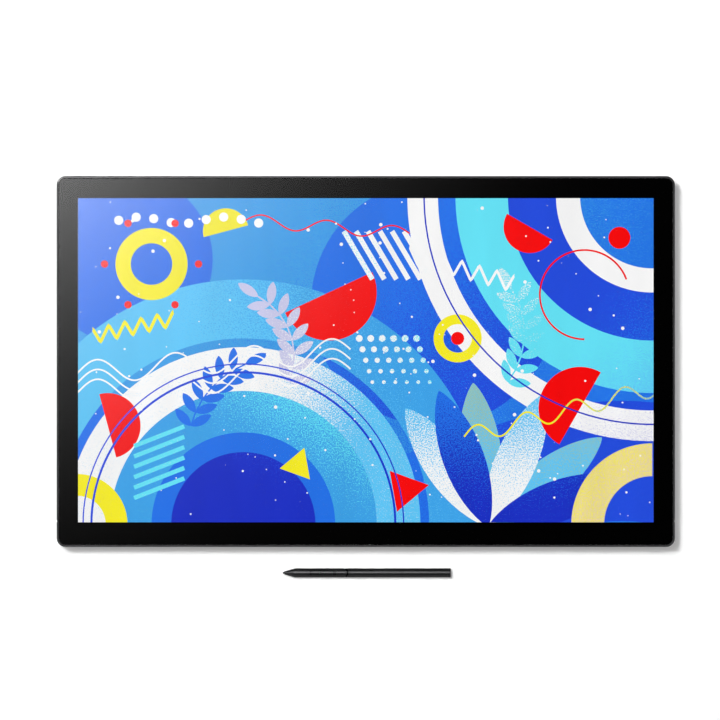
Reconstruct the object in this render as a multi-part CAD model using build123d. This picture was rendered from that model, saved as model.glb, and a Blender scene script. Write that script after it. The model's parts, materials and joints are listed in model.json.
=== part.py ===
from build123d import *
import math
import os

# A pen display lying on its back, with its pen in front of it. Millimetres, +Z up, +Y towards
# the display's upper edge. The origin is the middle of the footprint, on the desk.

# Screen and borders, as seen from the front
SCREEN_W = 527.04
SCREEN_H = 296.46
SIDE_BORDER = 19.35
TOP_BORDER = 20.3
BOTTOM_BORDER = 22.7
CORNER_R = 8.3

# Display layers, from the desk up
FOOT_HEIGHT = 1.5
COVER_WALL = 2.0
CAVITY_H = 9.3
CHASSIS_T = 1.2
SHIELD_T = 0.3
SENSOR_T = 0.8
TRAY_T = 0.6
REFLECTOR_T = 0.2
GUIDE_T = 2.0
DIFFUSER_T = 0.3
PRISM_T = 0.2
CELL_T = 1.2
PICTURE_GAP = 0.3
GLASS_T = 1.1
PRINT_T = 0.15
TAPE_T = 0.2

# Frame round the glass
RIM_W = 1.9
RIM_DROP = 0.15
RIM_FILLET = 1.2
GLASS_FIT = 0.35
GLASS_CHAMFER = 0.15
LEDGE_W = 6.0
LEDGE_T = 1.5
TAPE_W = 4.5
PRINT_INSET = 0.05
SEAM_HEIGHT = 23.7
SEAM_GAP = 0.1
SEAM_NOTCH = 1.8
FRAME_BOSS_R = 2.6
FRAME_BOSS_CLEAR = 0.2
FRAME_BOSS_CORNER_X = 46.5
FRAME_BOSS_CORNER_Y = 51.0
FRAME_SCREW_R = 1.0
FRAME_HEAD_R = 1.9
FRAME_HEAD_H = 1.1
THREAD_FIT = 0.05
THREAD_SPARE = 0.8

# Backlight and panel
TRAY_MARGIN = 6.0
TRAY_WALL = 0.8
TRAY_LIP_DROP = 0.1
CELL_MARGIN = 4.0
LAYER_FIT = 0.4
LED_STRIP_T = 0.8
LED_D = 0.9
LED_W = 5.6
LED_PITCH = 13.0
SOURCE_BOARD_W = 360.0
SOURCE_BOARD_D = 6.4
SOURCE_BOARD_T = 1.0
SOURCE_BOARD_INSET = 8.2
FLEX_W = 30.0
FLEX_T = 0.15
FLEX_COUNT = 6
FLEX_PITCH = 58.0
FLEX_REACH = 1.2
FLEX_LAP = 2.0

# Rear cover
COVER_H = 8.5
COVER_LIP = 1.5
SLOPE_RUN = 14.0
BACK_CORNER_R = 14.0
COVER_RIM_T = 2.2
TONGUE_T = 1.2
TONGUE_H = 1.3
TONGUE_FIT = 0.15
VENT_W = 2.2
VENT_L = 16.0
VENT_PITCH = 6.0
VENT_COUNT = 12
VENT_EDGE_Y = 103.0

# Screws of the cover, and the pillars that they enter
COVER_SCREW_R = 1.5
COVER_HOLE_FIT = 0.2
COVER_HEAD_R = 2.7
COVER_HEAD_H = 1.1
HEAD_RECESS_FIT = 0.15
BOSS_R = 4.2
BOSS_H = 1.5
PILLAR_R = 2.75
SCREW_BITE = 6.0
DRIVE_R = 1.0
DRIVE_DEPTH = 0.7
SCREW_EDGE_X = 27.0
SCREW_TOP_EDGE_Y = 41.0
SCREW_BOTTOM_EDGE_Y = 29.0
SCREW_INNER_X = 125.0

# Wall mount: four M4 holes on a square
MOUNT_PITCH = 100.0
MOUNT_HOLE_R = 2.1
MOUNT_PLATE_W = 134.0
MOUNT_PLATE_T = 1.5
MOUNT_PLATE_R = 6.0
MOUNT_SCREW_INSET = 7.0
NUT_FLATS = 7.0
NUT_H = 3.2
MOUNT_WINDOW = 60.0

# Socket bay and main board
BAY_W = 84.0
BAY_DEPTH = 26.0
BAY_WALL = 1.6
BOARD_T = 1.6
BOARD_FIT = 0.3
BOARD_W = 124.0
BOARD_D = 56.0
BOARD_LIFT = 4.7
BOARD_SCREW_INSET = 5.0
SHELL_T = 0.4
SOCKET_FIT = 0.1
SOCKET_PROUD = 0.2
HDMI_W = 15.0
HDMI_H = 4.55
HDMI_D = 11.5
HDMI_TONGUE_H = 1.4
HDMI_X = -22.0
USB_W = 8.94
USB_H = 3.16
USB_D = 8.0
USB_TONGUE_H = 0.7
USB_X = 4.0
USB_PITCH = 15.0
DC_W = 9.0
DC_H = 4.55
DC_D = 12.0
DC_BORE_R = 1.85
DC_PIN_R = 0.6
DC_X = 33.0
CHIP_T = 1.0
CHIP_SPECS = ((16.0, -32.0, -8.0), (12.0, -4.0, 4.0), (9.0, 24.0, -12.0), (7.0, 42.0, 8.0))

# Backlight driver board and flat cables
DRIVER_W = 84.0
DRIVER_D = 36.0
DRIVER_X = -98.0
DRIVER_EDGE_Y = 61.0
PART_H = 1.8
CABLE_T = 0.3
CABLE_CLEAR = 0.1
CABLE_W = 18.0
CABLE_LAP = 6.0
SLOT_FIT = 0.6

# Power button, its board and the lamp beside it, in the upper wall of the frame
BUTTON_EDGE_X = 57.5
BUTTON_W = 11.0
BUTTON_H = 2.4
BUTTON_FIT = 0.12
BUTTON_TRAVEL = 0.5
BUTTON_FLANGE = 0.5
BUTTON_FLANGE_T = 0.8
BUTTON_FLANGE_GAP = 0.05
BUTTON_STEM_W = 3.0
BUTTON_STEM_L = 0.6
SMALL_BOARD_T = 1.0
SMALL_BOARD_W = 26.0
SMALL_BOARD_D = 8.6
SWITCH_W = 6.0
SWITCH_D = 3.4
SWITCH_H = 2.6
PLUNGER_R = 0.8
PLUNGER_L = 0.9
PLUNGER_GAP = 0.1
LIGHT_R = 0.8
LIGHT_OFFSET = 13.0
LIGHT_LED = 1.2
LIGHT_LED_GAP = 0.2

# Rubber feet
FOOT_W = 76.0
FOOT_D = 9.0
FOOT_EDGE_X = 90.5
FOOT_EDGE_Y = 28.0
FOOT_SEAT = 0.7
FOOT_FIT = 0.12
FOOT_CHAMFER = 0.5

# Folding legs
LEG_EDGE_X = 92.5
LEG_W = 14.0
LEG_T = 6.0
LEG_L = 95.0
LEG_EDGE_Y = 61.0
LEG_FLUSH = 0.4
LEG_GROOVE_W = 8.0
LEG_GROOVE_D = 2.0
LEG_GROOVE_INSET = 14.0
POCKET_FIT = 0.7
POCKET_WALL = 1.4
NOTCH_L = 15.0
NOTCH_W = 22.0
SHOE_L = 12.0
SHOE_TONGUE_W = 7.0
SHOE_TONGUE_T = 3.0
SHOE_TONGUE_L = 8.0
SHOE_FIT = 0.02
SHOE_R = 2.4
PIN_R = 1.5
PIN_RUN = 0.05
PIN_PRESS = 0.02
PIN_HEAD_R = 2.4
PIN_HEAD_T = 0.8
EAR_T = 2.0
EAR_SIDE_GAP = 0.6
EAR_FLANGE = 8.0
EAR_FLANGE_T = 1.2
EAR_L = 11.0
EAR_NOSE_R = 2.8
WASHER_T = 0.4
WASHER_R = 2.8
BRACKET_SCREW_R = 1.25
BRACKET_HEAD_R = 2.3
BRACKET_HEAD_H = 0.9

# Pen, lying along X with its nib to the left
PEN_AXIS_GAP = 24.3
PEN_R = 4.15
PEN_L = 154.45
PEN_TIP_X = -76.4
NIB_R = 0.85
NIB_BORE_R = 1.0
NIB_L = 25.0
NIB_TRAVEL = 0.5
NOSE_START = 1.5
NOSE_R = 1.45
NOSE_EDGE = 0.35
NOSE_L = 9.3
NOSE_BLEND = 1.6
PEN_BORE_R = 2.9
PEN_BORE_START = 12.0
RING_S = 58.9
RING_L = 1.65
RING_CURVE_R = 4.6
RING_GAP = 0.1
RING_INSET = 0.14
TAIL_CAP_L = 2.6
TAIL_CHAMFER = 0.45
TAIL_PLUG_L = 5.0
TAIL_PLUG_FIT = 0.05
PLATE_START = 24.9
PLATE_END = 49.6
PLATE_W = 4.6
PLATE_T = 0.9
PLATE_FIT = 0.15
PEN_BUTTON_W = 3.4
PEN_BUTTON_RISE = 0.28
PEN_BUTTON_FIT = 0.2
PEN_BUTTON_TRAVEL = 0.35
PEN_FLANGE = 0.35
PEN_FLANGE_T = 0.35
PEN_FLANGE_GAP = 0.05
FRONT_BUTTON_START = 26.8
FRONT_BUTTON_END = 33.9
MIDDLE_BUTTON_END = 38.3
REAR_BUTTON_END = 45.7
PEN_BUTTON_GAP = 0.7
FERRITE_START = 12.4
FERRITE_L = 11.0
FERRITE_R = 1.8
COIL_R = 2.6
COIL_INSET = 1.0
CUP_R = 2.85
FORCE_SENSOR_L = 4.0
FORCE_SENSOR_GAP = 0.1
CARRIER_FIT = 0.05
CARRIER_T = 0.75
CARRIER_GAP = 0.2
CARRIER_TAIL_GAP = 5.3
PEN_BOARD_W = 4.6
PEN_BOARD_T = 0.8
PEN_BOARD_LIFT = 0.2
PEN_BOARD_TAIL_GAP = 22.0
PEN_SWITCH_L = 3.0
PEN_SWITCH_W = 2.4
PEN_SWITCH_GAP = 0.1
PEN_SWITCH_INSET = 1.6

# One overrun serves every cut, and one small gap every seat that must not touch
OVER = 1.0
SEAT = 0.05
HEX_SIDES = 6

# Shares of the sizes that they follow
ROUND_END_SHARE = 0.49
FILLET_SHARE = 0.9
LEAST_CORNER_SHARE = 0.125
LAMP_MARGIN_SHARE = 0.125
DRIVER_COIL_SHARE = 0.17
DRIVER_PITCH_SHARE = 0.25
HDMI_TONGUE_SHARE = 0.75
USB_TONGUE_SHARE = 0.72
COLLAR_SHARE = 1.6
SHOE_ROOT_SHARE = 0.25
BRACKET_BITE_SHARE = 0.8
NOSE_SHOULDER_SHARE = 0.25

# Heights that follow from the layers
COVER_Z = FOOT_HEIGHT
FLOOR_Z = COVER_Z + COVER_WALL
FRAME_Z = COVER_Z + COVER_H
CHASSIS_Z = FLOOR_Z + CAVITY_H
SHIELD_Z = CHASSIS_Z + CHASSIS_T
SENSOR_Z = SHIELD_Z + SHIELD_T
TRAY_Z = SENSOR_Z + SENSOR_T
REFLECTOR_Z = TRAY_Z + TRAY_T
GUIDE_Z = REFLECTOR_Z + REFLECTOR_T
DIFFUSER_Z = GUIDE_Z + GUIDE_T
PRISM_Z = DIFFUSER_Z + DIFFUSER_T
CELL_Z = PRISM_Z + PRISM_T
CELL_TOP = CELL_Z + CELL_T
GLASS_Z = CELL_TOP + PICTURE_GAP
GLASS_TOP = GLASS_Z + GLASS_T
PRINT_Z = GLASS_Z - PRINT_T
LEDGE_TOP = PRINT_Z - TAPE_T
LEDGE_Z = LEDGE_TOP - LEDGE_T
RIM_TOP = GLASS_TOP - RIM_DROP

# Widths that follow from the screen
BODY_W = SCREEN_W + 2 * SIDE_BORDER
BODY_H = SCREEN_H + TOP_BORDER + BOTTOM_BORDER
SCREEN_Y = (BOTTOM_BORDER - TOP_BORDER) / 2
SEAM_Y = SEAM_HEIGHT - BODY_H / 2
TRAY_W = SCREEN_W + 2 * TRAY_MARGIN
TRAY_H = SCREEN_H + 2 * TRAY_MARGIN
TRAY_BOTTOM_Y = SCREEN_Y - TRAY_H / 2
BUTTON_X = BODY_W / 2 - BUTTON_EDGE_X
FOOT_X = BODY_W / 2 - FOOT_EDGE_X
LEG_X = BODY_W / 2 - LEG_EDGE_X
LEG_PIVOT_Y = BODY_H / 2 - LEG_EDGE_Y
VENT_Y = BODY_H / 2 - VENT_EDGE_Y
DRIVER_Y = DRIVER_EDGE_Y - BODY_H / 2
PILLAR_Z = FLOOR_Z + BOSS_H
MOUNT_PLATE_TOP = FLOOR_Z + MOUNT_PLATE_T

# Ends inside the pen, from its tail
CARRIER_END = PEN_L - TAIL_CAP_L - TAIL_PLUG_L - CARRIER_TAIL_GAP
PEN_BOARD_END = CARRIER_END - PEN_BOARD_TAIL_GAP

# The display's middle, set so that display and pen together are centred on the origin
DISPLAY_Y = (PEN_AXIS_GAP + PEN_R) / 2
PEN_Y = DISPLAY_Y - BODY_H / 2 - PEN_AXIS_GAP


def save(name, shape, y=DISPLAY_Y):
    """Move a piece from the display's own frame into the part's frame and write it."""
    export_step(Pos(0, y, 0) * shape, f"parts/{name}.step")


def group(shapes):
    """Several separate solids as one flat compound."""
    return Compound([solid for shape in shapes for solid in shape.solids()])


def box(x0, x1, y0, y1, z0, z1):
    """Block between two corners."""
    middle = Pos((x0 + x1) / 2, (y0 + y1) / 2, (z0 + z1) / 2)
    return middle * Box(x1 - x0, y1 - y0, z1 - z0)


def rounded_plate(width, depth, radius, z0, z1, x=0, y=0):
    """Flat plate with rounded corners, standing from z0 to z1."""
    return Pos(x, y, z0) * extrude(RectangleRounded(width, depth, radius), z1 - z0)


def inset_plate(inset, z0, z1):
    """Plate that follows the display's outline at a constant inset."""
    radius = max(CORNER_R - inset, CORNER_R * LEAST_CORNER_SHARE)
    return rounded_plate(BODY_W - 2 * inset, BODY_H - 2 * inset, radius, z0, z1)


def rod_z(radius, z0, z1, x=0, y=0):
    """Round rod along Z."""
    return Pos(x, y, (z0 + z1) / 2) * Cylinder(radius, z1 - z0)


def rod_x(radius, x0, x1, y=0, z=0):
    """Round rod along X."""
    return Pos((x0 + x1) / 2, y, z) * Rot(0, 90, 0) * Cylinder(radius, x1 - x0)


def rod_y(radius, y0, y1, x=0, z=0):
    """Round rod along Y."""
    return Pos(x, (y0 + y1) / 2, z) * Rot(90, 0, 0) * Cylinder(radius, y1 - y0)


def screw(radius, length, head_radius, head_height, x, y, z):
    """Countersunk-free screw from below: its head hangs under z, its shank stands on z."""
    body = rod_z(head_radius, z - head_height, z, x, y) + rod_z(radius, z, z + length, x, y)
    return body - rod_z(DRIVE_R, z - head_height - OVER, z - head_height + DRIVE_DEPTH, x, y)


def frame_boss_places():
    """Boss centres along the four sides, clear of the corners and the power button."""
    reach = RIM_W + FRAME_BOSS_CLEAR + FRAME_BOSS_R
    side_x = BODY_W / 2 - reach
    side_y = BODY_H / 2 - reach
    pitch_x = (BODY_W / 2 - FRAME_BOSS_CORNER_X) / 2
    pitch_y = BODY_H / 2 - FRAME_BOSS_CORNER_Y
    across = [pitch_x * step for step in (-2, -1, 0, 1, 2)]
    along = [pitch_y * step for step in (-1, 0, 1)]
    places = [(x, y) for y in (-side_y, side_y) for x in across]
    return places + [(x, y) for x in (-side_x, side_x) for y in along]


def seam_notches():
    """Upright prisms that leave a small notch at each end of the seam."""
    side = SEAM_NOTCH / math.sqrt(2)
    prism = Rot(0, 0, 45) * Box(side, side, 2 * RIM_TOP)
    return [Pos(sign * BODY_W / 2, SEAM_Y, 0) * prism for sign in (-1, 1)]


def whole_frame():
    """Side wall with a soft upper edge, the ledge under the glass and the screw bosses."""
    wall = inset_plate(0, FRAME_Z, RIM_TOP)
    upper_edges = wall.edges().group_by(Axis.Z)[-1]
    ring = fillet(upper_edges, min(RIM_FILLET, RIM_W * FILLET_SHARE))
    ring -= inset_plate(RIM_W, LEDGE_TOP, RIM_TOP + OVER)
    ring -= inset_plate(RIM_W, FRAME_Z - OVER, LEDGE_Z)
    ring -= inset_plate(RIM_W + LEDGE_W, LEDGE_Z - OVER, LEDGE_TOP + OVER)
    bosses = [rod_z(FRAME_BOSS_R, SHIELD_Z, LEDGE_Z + LEDGE_T / 2, x, y)
              for x, y in frame_boss_places()]
    bores = [rod_z(FRAME_SCREW_R + THREAD_FIT, SHIELD_Z - OVER, LEDGE_Z + LEDGE_T / 2, x, y)
             for x, y in frame_boss_places()]
    return ring + bosses - bores - seam_notches()


def button_z():
    """Height of the power button: its flange clears the ledge and stands over its board."""
    return (SHIELD_Z + LEDGE_Z) / 2


def upper_frame(ring):
    """Top and sides, with the openings of the power button and of the lamp."""
    half = box(-BODY_W, BODY_W, SEAM_Y + SEAM_GAP / 2, BODY_H, 0, GLASS_TOP)
    top_y = BODY_H / 2
    hole = button_outline(BUTTON_FIT, top_y - RIM_W - OVER, top_y + OVER)
    lamp = rod_y(LIGHT_R + SEAT, top_y - RIM_W - OVER, top_y + OVER,
                 BUTTON_X - LIGHT_OFFSET, button_z())
    return (ring & half) - hole - lamp


def lower_frame(ring):
    """Bottom strip with both lower corners."""
    return ring & box(-BODY_W, BODY_W, -BODY_H, SEAM_Y - SEAM_GAP / 2, 0, GLASS_TOP)


def frame_screws():
    """Screws that pull both frames onto the chassis from below."""
    length = CHASSIS_T + LEDGE_Z - SHIELD_Z - THREAD_SPARE
    return group([screw(FRAME_SCREW_R, length, FRAME_HEAD_R, FRAME_HEAD_H, x, y, CHASSIS_Z)
                  for x, y in frame_boss_places()])


def front_glass():
    """Cover glass with a fine polished edge."""
    glass = inset_plate(RIM_W + GLASS_FIT, GLASS_Z, GLASS_TOP)
    return chamfer(glass.edges().group_by(Axis.Z)[-1], GLASS_CHAMFER)


def border_print():
    """Black print on the back of the glass, with the window of the picture."""
    sheet = inset_plate(RIM_W + GLASS_FIT + PRINT_INSET, PRINT_Z, GLASS_Z)
    window = box(-SCREEN_W / 2, SCREEN_W / 2, -SCREEN_H / 2, SCREEN_H / 2,
                 PRINT_Z - OVER, GLASS_Z + OVER)
    return sheet - Pos(0, SCREEN_Y, 0) * window


def glass_tape():
    """Black adhesive ring on the ledge of the frame, from the frame's wall inwards."""
    inset = RIM_W + SEAT
    return (inset_plate(inset, LEDGE_TOP, PRINT_Z)
            - inset_plate(inset + TAPE_W, LEDGE_TOP - OVER, PRINT_Z + OVER))


def screen_plate(width, depth, z0, z1):
    """Rectangular layer centred on the picture."""
    return box(-width / 2, width / 2, SCREEN_Y - depth / 2, SCREEN_Y + depth / 2, z0, z1)


def backlight_tray():
    """Shallow metal tray that holds the reflector, the light guide and the films."""
    tray = screen_plate(TRAY_W, TRAY_H, TRAY_Z, CELL_Z - TRAY_LIP_DROP)
    inner_w = TRAY_W - 2 * TRAY_WALL
    inner_h = TRAY_H - 2 * TRAY_WALL
    return tray - screen_plate(inner_w, inner_h, REFLECTOR_Z, CELL_Z + OVER)


def backlight_layer(z0, z1, led_room=0):
    """Sheet inside the tray, leaving room for the light bar along the lower edge."""
    inset = TRAY_WALL + LAYER_FIT
    half_w = TRAY_W / 2 - inset
    y0 = TRAY_BOTTOM_Y + inset + led_room
    y1 = TRAY_BOTTOM_Y + TRAY_H - inset
    return box(-half_w, half_w, y0, y1, z0, z1)


def led_bar():
    """Strip with its row of lamps, facing the edge of the light guide."""
    half_w = TRAY_W / 2 - TRAY_WALL - LAYER_FIT
    y0 = TRAY_BOTTOM_Y + TRAY_WALL + SEAT
    y1 = y0 + LED_STRIP_T
    strip = box(-half_w, half_w, y0, y1, GUIDE_Z, DIFFUSER_Z)
    count = int((2 * half_w - LED_W) / LED_PITCH / 2)
    margin = GUIDE_T * LAMP_MARGIN_SHARE
    lamps = [box(LED_PITCH * step - LED_W / 2, LED_PITCH * step + LED_W / 2,
                 y1 - LED_STRIP_T / 2, y1 + LED_D, GUIDE_Z + margin, DIFFUSER_Z - margin)
             for step in range(-count, count + 1)]
    return strip + lamps


def source_board_y():
    """Middle of the panel's driver board, between the tray and the frame bosses."""
    return SOURCE_BOARD_INSET + SOURCE_BOARD_D / 2 - BODY_H / 2


def panel_source_board():
    """Driver board of the panel, on the chassis below the tray."""
    y = source_board_y()
    half_w = SOURCE_BOARD_W / 2
    return box(-half_w, half_w, y - SOURCE_BOARD_D / 2, y + SOURCE_BOARD_D / 2,
               SHIELD_Z, SHIELD_Z + SOURCE_BOARD_T)


def panel_flexes():
    """Thin flexes from the lower edge of the cell down to the driver board."""
    cell_edge = SCREEN_Y - SCREEN_H / 2 - CELL_MARGIN
    bend = TRAY_BOTTOM_Y - FLEX_REACH
    board_top = SHIELD_Z + SOURCE_BOARD_T
    level = CELL_Z + CELL_T / 2
    flexes = []
    for index in range(FLEX_COUNT):
        x = FLEX_PITCH * (index - (FLEX_COUNT - 1) / 2)
        x0 = x - FLEX_W / 2
        x1 = x + FLEX_W / 2
        run = box(x0, x1, bend, cell_edge, level, level + FLEX_T)
        drop = box(x0, x1, bend, bend + FLEX_T, board_top, level + FLEX_T)
        lap = box(x0, x1, bend - FLEX_LAP, bend + FLEX_T, board_top, board_top + FLEX_T)
        flexes.append(run + drop + lap)
    return group(flexes)


def chassis():
    """Load-carrying plate: holes for the frame screws and slots for the flat cables."""
    plate = inset_plate(RIM_W + FRAME_BOSS_CLEAR, CHASSIS_Z, SHIELD_Z)
    holes = [rod_z(FRAME_SCREW_R + COVER_HOLE_FIT, CHASSIS_Z - OVER, SHIELD_Z + OVER, x, y)
             for x, y in frame_boss_places()]
    slots = [cable_slot(x) for x, _ in cable_runs()]
    return plate - holes - slots


def cable_runs():
    """Middle in X and upper end in Y of each flat cable."""
    board_y = board_front_y() + CABLE_LAP
    driver_y = DRIVER_Y - DRIVER_D / 2 + CABLE_LAP
    return ((-CABLE_W / 2 - CABLE_W, board_y), (CABLE_W, board_y), (DRIVER_X, driver_y))


def cable_slot(x):
    """Slot in the chassis where a flat cable turns up to the panel's driver board."""
    y = source_board_y()
    half = CABLE_W / 2 + SLOT_FIT
    return box(x - half, x + half, y - CABLE_T / 2 - SLOT_FIT, y + CABLE_T / 2 + SLOT_FIT,
               CHASSIS_Z - OVER, SHIELD_Z + OVER)


def ribbon_cables():
    """Flat cables under the chassis, from each board up to the panel's driver board."""
    y_end = source_board_y()
    top = CHASSIS_Z - CABLE_CLEAR
    cables = []
    for x, y_start in cable_runs():
        x0 = x - CABLE_W / 2
        x1 = x + CABLE_W / 2
        run = box(x0, x1, y_end - CABLE_T / 2, y_start, top - CABLE_T, top)
        rise = box(x0, x1, y_end - CABLE_T / 2, y_end + CABLE_T / 2, top - CABLE_T, SHIELD_Z)
        drop = box(x0, x1, y_start - CABLE_T, y_start, board_top(), top)
        cables.append(run + rise + drop)
    return group(cables)


def standoff_places():
    """Pillar centres: outer cover screws first, then the four at the mount plate."""
    edge_x = BODY_W / 2 - SCREW_EDGE_X
    top_y = BODY_H / 2 - SCREW_TOP_EDGE_Y
    bottom_y = SCREW_BOTTOM_EDGE_Y - BODY_H / 2
    outer = [(x, y) for y in (bottom_y, top_y) for x in (-edge_x, -SCREW_INNER_X,
                                                        SCREW_INNER_X, edge_x)]
    outer += [(-edge_x, 0), (edge_x, 0), (0, bottom_y)]
    reach = MOUNT_PLATE_W / 2 - MOUNT_SCREW_INSET
    inner = [(x, y) for x in (-reach, reach) for y in (-reach, reach)]
    return outer, inner


def board_screw_places():
    """Screw centres of both hanging boards."""
    return main_board_places() + driver_board_places()


def main_board_places():
    """Screw centres of the main board."""
    y0 = board_front_y() + BOARD_SCREW_INSET
    y1 = board_front_y() + BOARD_D - BOARD_SCREW_INSET
    half = BOARD_W / 2 - BOARD_SCREW_INSET
    return [(x, y) for x in (-half, half) for y in (y0, y1)]


def driver_board_places():
    """Screw centres of the backlight driver board."""
    reach_x = DRIVER_W / 2 - BOARD_SCREW_INSET
    reach_y = DRIVER_D / 2 - BOARD_SCREW_INSET
    return [(DRIVER_X + x, DRIVER_Y + y) for x in (-reach_x, reach_x)
            for y in (-reach_y, reach_y)]


def pillar(z0, radius, x, y):
    """Threaded pillar from z0 up to the chassis."""
    bore_top = min(z0 + SCREW_BITE + THREAD_SPARE, CHASSIS_Z - SEAT)
    outside = Pos(x, y, z0) * extrude(RegularPolygon(PILLAR_R, HEX_SIDES), CHASSIS_Z - z0)
    return outside - rod_z(radius + THREAD_FIT, z0 - OVER, bore_top, x, y)


def standoffs():
    """Every pillar under the chassis: for the cover, the boards and the leg ears."""
    outer, inner = standoff_places()
    pillars = [pillar(PILLAR_Z, COVER_SCREW_R, x, y) for x, y in outer]
    pillars += [pillar(MOUNT_PLATE_TOP, COVER_SCREW_R, x, y) for x, y in inner]
    pillars += [pillar(board_top(), FRAME_SCREW_R, x, y) for x, y in board_screw_places()]
    pillars += [pillar(pocket_roof_top(), BRACKET_SCREW_R, x, y)
                for x, y in bracket_screw_places()]
    return group(pillars)


def sloped_block(low_inset, low_z, high_inset, high_z):
    """Block whose outline grows from one inset of the display's outline to another."""
    low_r = max(BACK_CORNER_R, CORNER_R)
    low = RectangleRounded(BODY_W - 2 * low_inset, BODY_H - 2 * low_inset, low_r)
    high_r = max(CORNER_R - high_inset, CORNER_R * LEAST_CORNER_SHARE)
    high = RectangleRounded(BODY_W - 2 * high_inset, BODY_H - 2 * high_inset, high_r)
    return loft([Pos(0, 0, low_z) * low, Pos(0, 0, high_z) * high], ruled=True)


def cover_outside():
    """Outer form of the cover: flat back, four slopes and a short upright lip."""
    block = sloped_block(SLOPE_RUN, COVER_Z, 0, FRAME_Z - COVER_LIP)
    return block + inset_plate(0, FRAME_Z - COVER_LIP, FRAME_Z)


def cover_inside():
    """Hollow of the cover, a wall away from its back and its slopes."""
    rise = COVER_H - COVER_LIP
    slope = math.atan2(rise, SLOPE_RUN)
    floor_inset = SLOPE_RUN * (1 - COVER_WALL / rise) + COVER_WALL / math.sin(slope)
    return sloped_block(floor_inset, FLOOR_Z, COVER_RIM_T, FRAME_Z)


def cover_tongue():
    """Thin rib along the cover's rim that locates it inside the frame."""
    inset = RIM_W + TONGUE_FIT
    z0 = FRAME_Z - COVER_LIP
    z1 = FRAME_Z + TONGUE_H
    return inset_plate(inset, z0, z1) - inset_plate(inset + TONGUE_T, z0 - OVER, z1 + OVER)


def bay_back_y():
    """Wall of the socket bay that the sockets look out of."""
    return BODY_H / 2 - BAY_DEPTH


def board_z():
    """Underside of the main board."""
    return FLOOR_Z + BOARD_LIFT


def board_top():
    """Upper side of both boards that hang from the pillars."""
    return board_z() + BOARD_T


def board_front_y():
    """Lower edge of the main board."""
    return bay_back_y() - BAY_WALL - BOARD_FIT - BOARD_D


def bay_roof_z():
    """Underside of the bay's roof, level with the frame's lower edge."""
    return FRAME_Z - BAY_WALL


def bay_walls():
    """Box that closes the socket bay off from the inside of the display."""
    half = BAY_W / 2 + BAY_WALL
    walls = box(-half, half, bay_back_y() - BAY_WALL, BODY_H / 2 - RIM_W - TONGUE_FIT,
                COVER_Z, FRAME_Z)
    return walls & cover_outside()


def bay_space():
    """Space of the bay, open towards the display's upper edge and towards the desk."""
    return box(-BAY_W / 2, BAY_W / 2, bay_back_y(), BODY_H / 2 + OVER,
               COVER_Z - OVER, bay_roof_z())


def socket_outlines():
    """Middle, width, height and depth of each socket, all hanging under the main board."""
    usb = [(USB_X + step * USB_PITCH, USB_W, USB_H, USB_D) for step in (0, 1)]
    return [(HDMI_X, HDMI_W, HDMI_H, HDMI_D)] + usb + [(DC_X, DC_W, DC_H, DC_D)]


def socket_cuts():
    """Windows in the bay's back wall, one round each socket."""
    cuts = []
    for x, width, height, _ in socket_outlines():
        half = width / 2 + SOCKET_FIT
        cuts.append(box(x - half, x + half, bay_back_y() - BAY_WALL - OVER, bay_back_y() + OVER,
                        board_z() - height - SOCKET_FIT, board_z() + SOCKET_FIT))
    return cuts


def pocket_roof():
    """Inner height of the leg pocket."""
    return leg_axis_z() + LEG_T / 2 + POCKET_FIT


def pocket_roof_top():
    """Outer height of the pocket's roof, inside the display."""
    return pocket_roof() + POCKET_WALL


def leg_axis_z():
    """Height of the leg's hinge pin."""
    return COVER_Z + LEG_FLUSH + LEG_T / 2


def pocket_spaces(x):
    """Spaces for one folded leg, its hinge ears and the fingertip that pulls it out."""
    tip = LEG_PIVOT_Y - LEG_L
    end = LEG_PIVOT_Y + LEG_T / 2 + POCKET_FIT
    half = LEG_W / 2 + POCKET_FIT
    hinge_half = LEG_W / 2 + EAR_SIDE_GAP + EAR_T + EAR_FLANGE + POCKET_FIT
    hinge_low = LEG_PIVOT_Y - EAR_L / 2 - POCKET_FIT
    hinge_high = max(end, LEG_PIVOT_Y + EAR_L / 2 + POCKET_FIT)
    half_notch = NOTCH_W / 2
    return (
        (x - half, x + half, tip - POCKET_FIT, end),
        (x - hinge_half, x + hinge_half, hinge_low, hinge_high),
        (x - half_notch, x + half_notch, tip - NOTCH_L, tip + SHOE_L / 2),
    )


def all_pocket_spaces():
    """Spaces of both legs."""
    return pocket_spaces(-LEG_X) + pocket_spaces(LEG_X)


def foot_places():
    """Middle of each rubber foot."""
    return [(x, y) for x in (-FOOT_X, FOOT_X)
            for y in (FOOT_EDGE_Y - BODY_H / 2, BODY_H / 2 - FOOT_EDGE_Y)]


def cover_additions():
    """What stands on the inside of the shell: tongue, bay, pocket walls and screw bosses."""
    walls = [box(x0 - POCKET_WALL, x1 + POCKET_WALL, y0 - POCKET_WALL, y1 + POCKET_WALL,
                 COVER_Z, pocket_roof_top()) for x0, x1, y0, y1 in all_pocket_spaces()]
    bosses = [rod_z(BOSS_R, COVER_Z + COVER_WALL / 2, PILLAR_Z, x, y)
              for x, y in standoff_places()[0]]
    return [cover_tongue(), bay_walls()] + walls + bosses


def screw_seats():
    """Counterbored holes of the cover screws, and the plain ones of the hinge screws."""
    outer, inner = standoff_places()
    seat_top = COVER_Z + COVER_HEAD_H + HEAD_RECESS_FIT
    seats = []
    for x, y in outer + inner:
        seats.append(rod_z(COVER_HEAD_R + HEAD_RECESS_FIT, COVER_Z - OVER, seat_top, x, y))
        seats.append(rod_z(COVER_SCREW_R + COVER_HOLE_FIT, COVER_Z, PILLAR_Z + OVER, x, y))
    for x, y in bracket_screw_places():
        seats.append(rod_z(BRACKET_SCREW_R + COVER_HOLE_FIT, pocket_roof() - OVER,
                           pocket_roof_top() + OVER, x, y))
    return seats


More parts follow.
